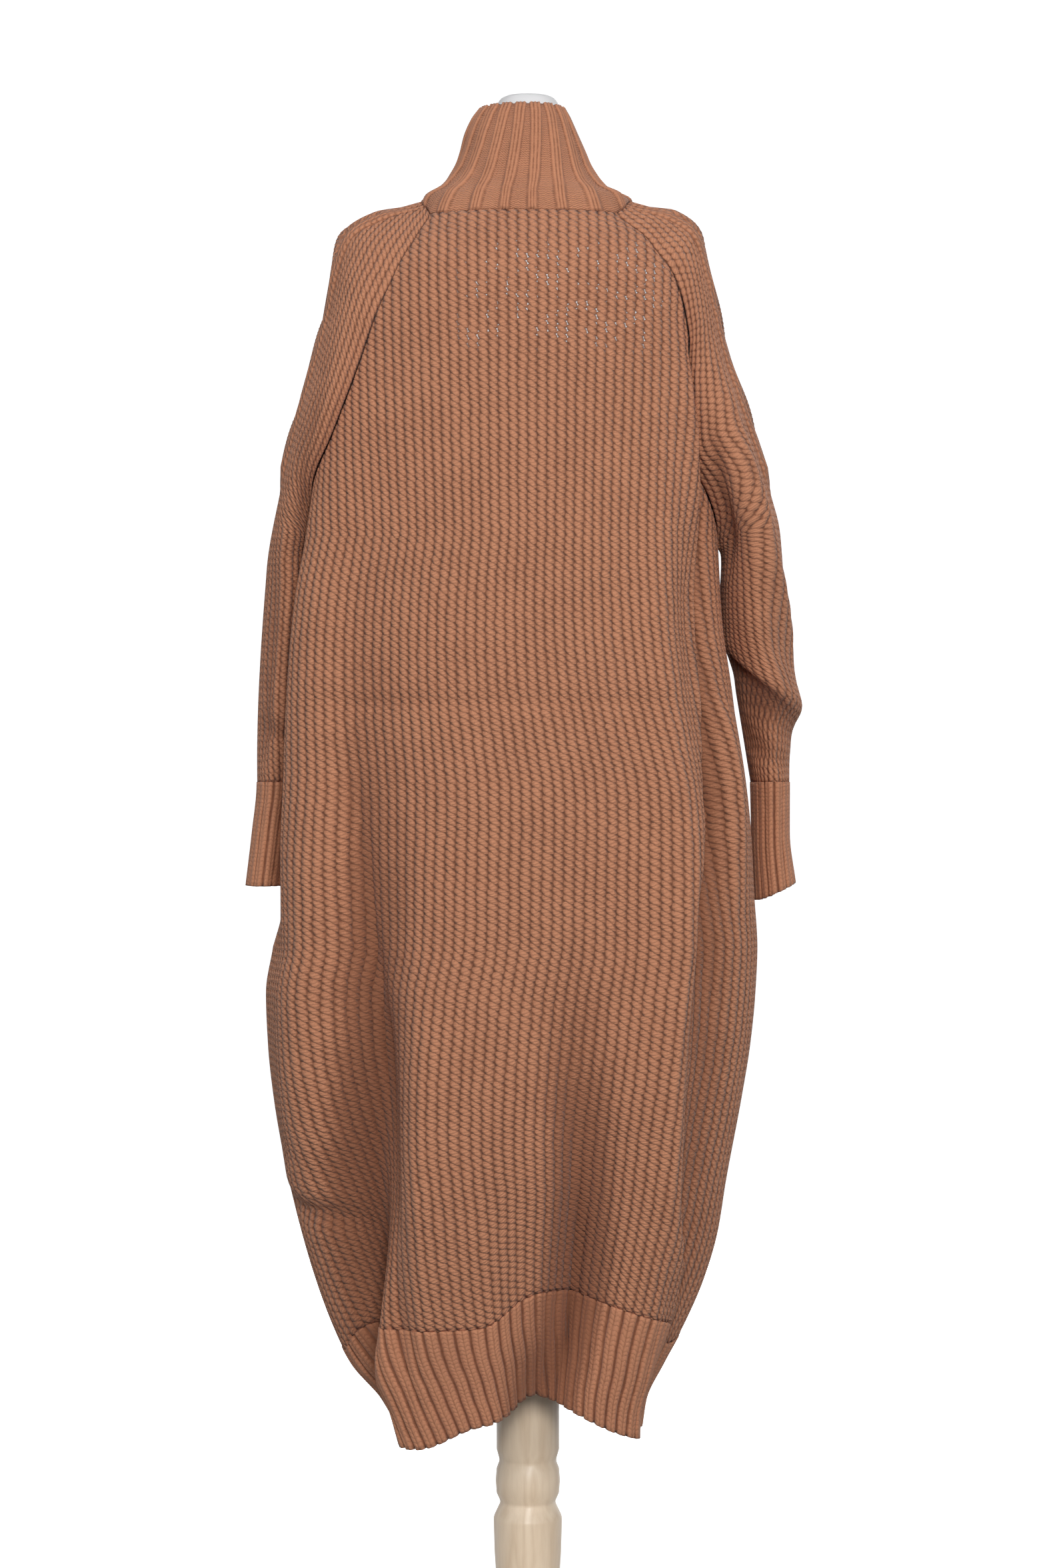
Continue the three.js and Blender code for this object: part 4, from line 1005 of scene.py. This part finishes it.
MISS_POWER = 3
EARLY_TURN_POWER = 20
ARM_KNOTS_Z = np.array([CUFF_SEAM_Z, .985, 1.014, 1.026, 1.04, 1.058, 1.084, 1.112, 1.142, 1.172])
CAP_KNOTS = np.linspace(0, RAGLAN_STEPS, 33)
SLEEVE_ROW_GAP = 0.0043
ROUND_SAMPLES = 241
SLEEVE_WALES = 13
CABLE_HALF = 0.045
CABLE_WALES = 10
CABLE_TOP_Z = 1.492
CABLE_END_Z = 1.236
DIAMOND = 0.092
CORD_SWING = 0.036
CORD_HALF = 0.0072
CORD_HEIGHT = 0.0056
CROSSING_LIFT = 0.0012
CORD_EDGE = 0.0025
CABLE_OVERRUN = 0.03
CABLE_TOP_FADE = 0.01
CABLE_END_FADE = 0.024
CREASE_FADE = 0.02
# Painted shade in the sleeves: the crease depth that gets it in full, and how far from the seams the
# arms' inner sides below the underarm are painted in the body's shade.
CREASE_SHADE = 0.008
INNER_SIDE_SHADE = 0.04


def hermite(key, values, slope, at):
    """Values on a smooth curve through known ones, with known slopes."""
    i = np.clip(np.searchsorted(key, at, side="right") - 1, 0, len(key) - 2)
    span = (key[i + 1] - key[i])[:, None, None]
    t = (at - key[i])[:, None, None] / span
    rise = t * t * (3 - 2 * t)
    return (values[i] * (1 - rise) + values[i + 1] * rise
            + span * (t * (1 - t) ** 2 * slope[i] - t * t * (1 - t) * slope[i + 1]))


def arm_rows(side, arm, z, turns):
    """Rows round the sleeve below the underarm. A turn runs from -1 at its first edge to 1."""
    half, depth, out_x, y, tilt = (
        smooth(arm, name, z)[:, None] for name in ("half", "half_depth", "out_x", "y", "tilt"))
    angle = np.pi * turns
    return np.stack([
        side * (out_x - half * (1 - np.cos(angle))),
        y + side * depth * np.sin(angle),
        z[:, None] + tilt * np.cos(angle)], -1)


def cap_rows(side, cap, step, first, second, turns):
    """Rows over the shoulder, from one raglan seam out to the arm's outer line and back."""
    out_x, out_z, sweep, depth, y, reached = (
        smooth(cap, name, step, "step")[:, None]
        for name in ("out_x", "out_z", "sweep", "half_depth", "y", "reach"))
    out = np.concatenate([side * out_x, y, out_z], 1)
    inward = (first + second) / 2 - out
    inward[:, 1] = 0
    sweep = np.radians(sweep)
    half = reached * np.linalg.norm(inward, axis=1, keepdims=True) / (1 - np.cos(sweep))
    inward = unit(inward)

    def arc(turn):
        along = inward[:, None, :] * (half * (1 - np.cos(sweep * turn)))[..., None]
        across = side * depth * np.sin(sweep * turn)
        return out[:, None, :] + along + across[..., None] * np.array([0, 1, 0])

    first_miss = first[:, None, :] - arc(np.array([[-1.0]]))
    second_miss = second[:, None, :] - arc(np.array([[1.0]]))
    miss = np.where((turns < 0)[None, :, None], first_miss, second_miss)
    power = MISS_POWER + EARLY_TURN_POWER * (1 - reached)
    return arc(turns[None, :]) + miss * (np.abs(turns)[None, :] ** power)[..., None]


def seam_points(face, side):
    """The raglan seam of the back or front, on the wearer's left or right."""
    z = smooth(RAGLAN, f"{face}_z", CAP_KNOTS, "step")
    angle = smooth(RAGLAN, f"{side}_{face}", CAP_KNOTS, "step")
    angle = -angle if side == "left" else angle
    return body_point(z, angle if face == "back" else 180 - angle)


def cable(across, down):
    """How far the cords stand out, and where they are: two swing to and fro, and two run straight."""
    swing = CORD_SWING * np.sin(np.pi * down / DIAMOND)
    over = np.cos(np.pi * down / DIAMOND)
    out = np.zeros_like(across)
    for middle, lift in ((swing, over), (-swing, -over), (CORD_SWING, -1), (-CORD_SWING, -1)):
        off = np.abs(across - middle) / CORD_HALF
        cord = (CORD_HEIGHT + CROSSING_LIFT * lift) * np.sqrt(np.clip(1 - off ** 2, 0, 1))
        out = np.maximum(out, cord)
    return out


def sleeve(name, side, cap, arm, creases, pinches, first, second):
    turns = np.linspace(-1, 1, ROUND_SAMPLES)
    knots = np.concatenate([
        arm_rows(side, arm, ARM_KNOTS_Z, turns),
        cap_rows(side, cap, CAP_KNOTS, first, second, turns)])
    middle = knots[:, ROUND_SAMPLES // 2]
    key = np.concatenate([[0], np.cumsum(np.linalg.norm(np.diff(middle, axis=0), axis=1))])
    at = np.linspace(0, key[-1], int(key[-1] / SLEEVE_ROW_GAP))
    rows = hermite(key, knots, np.gradient(knots, key, axis=0), at)
    length = lengths(rows)
    outer = length[:, ROUND_SAMPLES // 2][:, None]
    total = length[:, -1:]
    underarm = np.interp(key[len(ARM_KNOTS_Z)], at, np.arange(len(at)))
    above = (np.arange(len(at)) > underarm)[:, None]
    count = np.arange(SLEEVE_WALES * POINTS_A_WALE + 1) / POINTS_A_WALE

    def from_seam(room):
        """Distances from a seam of the wales that run along it, and the count of each."""
        pitch = room / SLEEVE_WALES
        pitch = np.where(above, pitch[int(underarm)], pitch)
        wale = np.minimum(count, room / pitch)
        return wale * pitch, wale

    first_distance, first_wale = from_seam(outer - CABLE_HALF)
    second_distance, second_wale = from_seam(total - outer - CABLE_HALF)
    cable_count = np.arange(CABLE_WALES * POINTS_A_WALE + 1) / POINTS_A_WALE
    across = (cable_count / CABLE_WALES * 2 - 1) * CABLE_HALF
    across = np.broadcast_to(across, (len(at), len(cable_count)))
    distance = np.concatenate([
        first_distance, outer + across[:, 1:-1], total - second_distance[:, ::-1]], 1)
    cable_wale = np.broadcast_to(cable_count, across.shape)
    after = np.concatenate([first_wale[:, :-1], cable_wale[:, :-1], -second_wale[:, ::-1]], 1)
    before = np.concatenate([first_wale, cable_wale[:, 1:], -second_wale[:, -2::-1]], 1)
    wale = np.stack([after, before], -1)
    places = at_lengths(rows, rows, distance)
    normals = unit(at_lengths(rows, outward(rows), distance))
    out_z = places[:, places.shape[1] // 2, 2][:, None]
    corded = np.clip((out_z - CABLE_END_Z) / CABLE_END_FADE, 0, 1)
    corded = corded * np.clip((CABLE_TOP_Z + CABLE_OVERRUN - out_z) / CABLE_TOP_FADE, 0, 1)
    from_outer = distance - outer
    in_cable = corded * (np.abs(from_outer) < CABLE_HALF + 1e-4)
    cords = cable(from_outer, CABLE_TOP_Z - out_z)
    from_edge = np.minimum(distance, total - distance)
    fullness = np.clip(from_edge / SEAM_FADE, 0, 1) * (1 - in_cable)
    low = np.broadcast_to(out_z, distance.shape)
    slack = folded(creases, "at", low, "z", lambda at: from_outer - at)
    slack = slack + folded(pinches, "z", from_outer, "at", lambda centre: low - centre)
    slack = slack * np.clip(from_edge / CREASE_FADE, 0, 1)
    slack = slack * np.clip((low - CUFF_SEAM_Z) / CREASE_FADE, 0, 1)
    # The arms' inner sides below the underarm, painted darker as if in the body's shade.
    inner_side_shade = np.clip(1 - from_edge / INNER_SIDE_SHADE, 0, 1) * (low < UNDERARM_Z)
    out = wale_relief(before) * fullness - SEAM_SUNK * (from_edge < 0.002)
    out = out + cords * in_cable + slack
    # The fold mark carries painted shade into the sleeve's colour: in its creases, and on its inner
    # sides.
    marks = [
        ("cord", in_cable * np.clip(cords / CORD_EDGE, 0, 1)),
        ("moss", in_cable),
        ("fold", np.clip(-slack / CREASE_SHADE, 0, 1) + inner_side_shade),
    ]
    course = np.broadcast_to(at[:, None] / COURSE, before.shape)
    piece = knitted(name, places + normals * out[..., None], wale, course, sleeve_wool, marks)
    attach(piece, "root")
    return piece


sleeve_wool = new_wool("cabled_wool")
wale, course = knit_map(sleeve_wool, 0.36)
cord = sleeve_wool.node("ShaderNodeAttribute", {"attribute_name": "cord"}, {}, "Fac")
moss = sleeve_wool.node("ShaderNodeAttribute", {"attribute_name": "moss"}, {}, "Fac")
rib_height, rib_hollow = half_cardigan(wale, course)
seed = wave(wale * 1.5) * wave(course)
chain_height, _ = half_cardigan(wale * 2, course)
height = rib_height * (1 - moss) + moss * (seed * (1 - cord) + chain_height * cord)
hollow = rib_hollow * (1 - moss) + moss * (1 - cord) * (1 - seed) ** 2 * 0.6
wool(sleeve_wool, height, hollow, 0.0015)

left_sleeve = sleeve(
    "left_sleeve_knit", -1, LEFT_CAP, LEFT_ARM, LEFT_CREASES, LEFT_PINCHES,
    seam_points("front", "left"), seam_points("back", "left"))
right_sleeve = sleeve(
    "right_sleeve_knit", 1, RIGHT_CAP, RIGHT_ARM, RIGHT_CREASES, RIGHT_PINCHES,
    seam_points("back", "right"), seam_points("front", "right"))
for piece, node in ((left_sleeve, "sleeve_left"), (right_sleeve, "sleeve_right")):
    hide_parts(node)


# The hem bands: a firm rib of two plain wales and a deep groove, knitted in one with each panel
# and closed at the side seams. Folds carry the bands in and out with the skirt above.
HEM_RIBS = 42
POINTS_A_RIB = 8
HEM_ROW_GAP = 0.0038
HEM_RELIEF = table(
    "across out",
    (0, -.0024), (.125, .0), (.25, .0014), (.375, .0016), (.5, .0011),
    (.625, .0016), (.75, .0014), (.875, .0), (1, -.0024),
)


def plain_chain(wale, course):
    """Flat plain stitches, two wales to a rib."""
    side = abs(((wale * 2).maths("FRACT", wale * 2)) - 0.5) * 2
    return wave(course * 1.6 + side * 0.5) ** 0.5 * (1 - side ** 3 * 0.6)


rib_wool = new_wool("ribbed_wool")
wale, course = knit_map(rib_wool, 0.12)
chain = plain_chain(wale, course)
in_rib = abs(wale.maths("FRACT", wale) - 0.5) * 2
groove = in_rib.within(0.72, 1.0)
between = (1 - in_rib * 6).within(0.0, 1.0) * 0.4
wool(rib_wool, chain * (1 - groove) * 0.5 + 0.5 * (1 - groove), groove * 0.85 + between, 0.0009)


def evenly(plain, rib, ribs):
    """Distances along rows at which ribs of one width fill them."""
    return rib / ribs * lengths(plain)[:, -1:]


def band(name, plain, rows, rib, distance, relief, finish, marks=()):
    """A ribbed band across rows of the cloth that it follows, with ribs at distances along them."""
    places = at_lengths(plain, rows, distance)
    normals = unit(at_lengths(plain, outward(rows), distance))
    out = np.interp(rib % 1, relief["across"], relief["out"])[None, :]
    wale = np.broadcast_to(rib, distance.shape)
    course = lengths(rows.mean(1)[None])[0][:, None] / COURSE
    piece = knitted(name, places + normals * out[..., None], wale, course, finish, marks)
    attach(piece, "root")
    return piece


hem_z = np.linspace(HEM_LOW_Z, HEM_SEAM_Z, int((HEM_SEAM_Z - HEM_LOW_Z) / HEM_ROW_GAP))
hem_rib = np.arange(HEM_RIBS * POINTS_A_RIB + 1) / POINTS_A_RIB
for face, first_angle in (("back", -90.0), ("front", 90.0)):
    edge = np.full(len(hem_z), first_angle)
    plain_rows, hem_rows, _, painted_fold_shade = body_rows(hem_z, edge, edge + 180)
    across = evenly(plain_rows, hem_rib, HEM_RIBS)
    # The fold mark carries painted shade into the band's colour, darker where the cloth lies deep in
    # a fold.
    marks = [("fold", at_lengths(plain_rows, painted_fold_shade, across))]
    hem = band(
        f"{face}_hem_rib", plain_rows, hem_rows, hem_rib, across, HEM_RELIEF, rib_wool, marks)
    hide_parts(f"hem_{face}")


# The cuffs: the hem's rib, drawn in round the wrist and closed at the sleeve's seam.
CUFF_RIBS = 20
CUFF_RELIEF = dict(HEM_RELIEF, out=HEM_RELIEF["out"] * 0.8)
cuff_rib = np.arange(CUFF_RIBS * POINTS_A_RIB + 1) / POINTS_A_RIB

for side, where, arm in ((-1, "left", LEFT_ARM), (1, "right", RIGHT_ARM)):
    cuff_z = np.linspace(arm["z"][0], CUFF_SEAM_Z, 28)
    cuff_rows = arm_rows(side, arm, cuff_z, np.linspace(-1, 1, ROUND_SAMPLES))
    across = evenly(cuff_rows, cuff_rib, CUFF_RIBS)
    cuff = band(f"{where}_cuff_rib", cuff_rows, cuff_rows, cuff_rib, across, CUFF_RELIEF, rib_wool)
    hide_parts(f"cuff_{where}")


# The collar: a funnel neck in a wide rib, three fine plain wales and a sunken purl ground by
# turns. It is linked on to the neck line and closes in over the top of the form.
COLLAR_SECTIONS = table(
    "z left right back front",
    (1.5, .104, .101, .084, .086),
    (1.526, .099, .096, .076, .078),
    (1.537, .084, .075, .071, .073),
    (1.555, .073, .064, .065, .067),
    (1.574, .066, .056, .06, .062),
    (1.59, .062, .049, .055, .057),
    (1.606, .055, .042, .047, .049),
    (1.617, .047, .036, .04, .042),
)
COLLAR_SQUARENESS = 0.92
COLLAR_TOP_Z = 1.617
COLLAR_BASE_FADE = 0.45
COLLAR_RIBS = 19
COLLAR_ROWS = 46
POINTS_A_COLLAR_RIB = 16
COLLAR_RAISED = 0.0105
COLLAR_CLOSEST = table("rise period", (0, .0272), (.5, .0212), (1, .015))
COLLAR_RELIEF = table(
    "across out",
    (0, -.001), (.1875, -.001), (.25, .0002), (.3125, .0017), (.375, .0012), (.4375, .0009),
    (.5, .0018), (.5625, .0009), (.625, .0012), (.6875, .0017), (.75, .0002),
    (.8125, -.001), (1, -.001),
)

neck_steps = np.array([RAGLAN_STEPS, RAGLAN_STEPS], float)
turns = np.linspace(-1, 1, ROUND_SAMPLES)


def neck_angles(face):
    left, right = (
        smooth(RAGLAN, f"{side}_{face}", neck_steps, "step") for side in ("left", "right"))
    return (-left, right) if face == "back" else (180 - right, 180 + left)


def top_row(face):
    height, dip = (smooth(RAGLAN, name, neck_steps, "step") for name in (f"{face}_z", "dip"))
    return body_rows(height, *neck_angles(face), dip if face == "front" else 0.0)[1][0]


def cap_top(side, cap, first, second):
    return cap_rows(side, cap, CAP_KNOTS, first, second, turns)[-1]


neck = np.concatenate([
    top_row("back"),
    cap_top(1, RIGHT_CAP, seam_points("back", "right"), seam_points("front", "right")),
    top_row("front"),
    cap_top(-1, LEFT_CAP, seam_points("front", "left"), seam_points("back", "left"))])
centre = ROW_SAMPLES // 2
neck = np.concatenate([neck[centre:], neck[:centre + 1]])[None]
around = np.linspace(0, 1, ROW_SAMPLES)
neck = at_lengths(neck, neck, around[None] * lengths(neck)[:, -1:])[0]

top_angle = np.linspace(0, 360, 721)
top_reach = reach(COLLAR_SECTIONS, np.full(721, COLLAR_TOP_Z))
top_line = np.stack(oval(*top_reach, top_angle, COLLAR_SQUARENESS), -1)[None]
evenly_spaced = around[None] * lengths(top_line)[:, -1:]
angle = at_lengths(top_line, top_angle[None, :, None], evenly_spaced)[0, :, 0]
rise = np.linspace(0, 1, COLLAR_ROWS)[:, None]
base_z = np.maximum(neck[:, 2], COLLAR_SECTIONS["z"][0])
z = base_z + (COLLAR_TOP_Z - base_z) * rise
left, right, back_reach, front_reach = (side[0] for side in reach(COLLAR_SECTIONS, z))
across = neck[:, 0] / np.where(neck[:, 0] > 0, right, left)
along = -neck[:, 1] / np.where(neck[:, 1] < 0, back_reach, front_reach)
powers = [np.sign(share) * np.abs(share) ** (1 / COLLAR_SQUARENESS) for share in (across, along)]
neck_angle = np.degrees(np.unwrap(np.arctan2(*powers)))
angle = neck_angle + (angle - neck_angle) * rise * rise * (3 - 2 * rise)
x, y = oval(*reach(COLLAR_SECTIONS, z), angle, COLLAR_SQUARENESS)
collar_rows = np.stack([x, y, z], -1)
fade = np.clip(1 - rise / COLLAR_BASE_FADE, 0, 1)
collar_rows += (neck - collar_rows[0]) * (fade * fade * (3 - 2 * fade))[..., None]

# The ribs keep their width and the ground between them spreads, and at the base they stand closer
# at the centre back and front than at the sides.
collar_rib = np.arange(COLLAR_RIBS * POINTS_A_COLLAR_RIB + 1) / POINTS_A_COLLAR_RIB
total = lengths(collar_rows)[:, -1:]
period = total / COLLAR_RIBS
ground = (period - COLLAR_RAISED) / 2
share = collar_rib % 1
within_rib = (ground * (np.clip(share / 0.25, 0, 1) + np.clip((share - 0.75) / 0.25, 0, 1))
              + COLLAR_RAISED * np.clip((share - 0.25) / 0.5, 0, 1))
collar_across = np.floor(collar_rib) * period + within_rib
closer = np.clip(1 - smooth(COLLAR_CLOSEST, "period", rise, "rise") / period, 0, 0.3)
crowding = closer / (4 * np.pi) * np.sin(4 * np.pi * collar_across / total)
collar_across = np.clip(collar_across - crowding * total, 0, total)

collar_wool = new_wool("collar_wool")
wale, course = knit_map(collar_wool, 0.05)
in_rib = abs(wale.maths("FRACT", wale) - 0.5) * 2
purl_ground = in_rib.within(0.5, 0.6)
purl = wave(course * 3.1 + wave(wale * 8) * 0.5)
chain = plain_chain(wale * 3, course * 1.4)
height = purl_ground * (0.45 + 0.5 * purl) + (1 - purl_ground) * (0.7 + 0.3 * chain)
between = (1 - abs(in_rib - 0.18) * 7).within(0.0, 1.0) * 0.75
beside = (1 - abs(in_rib - 0.56) * 8).within(0.0, 1.0) * 0.55
linking = (1 - course.within(0.15, 0.5)) * (0.3 + 0.7 * wave(wale * 5))
hollow = purl_ground * (1 - purl) ** 2 * 0.5 + between + beside * (1 - linking) + linking * 0.6
wool(collar_wool, height, hollow, 0.0009)

collar = band(
    "collar_rib", collar_rows, collar_rows, collar_rib, collar_across, COLLAR_RELIEF, collar_wool)
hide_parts("collar")
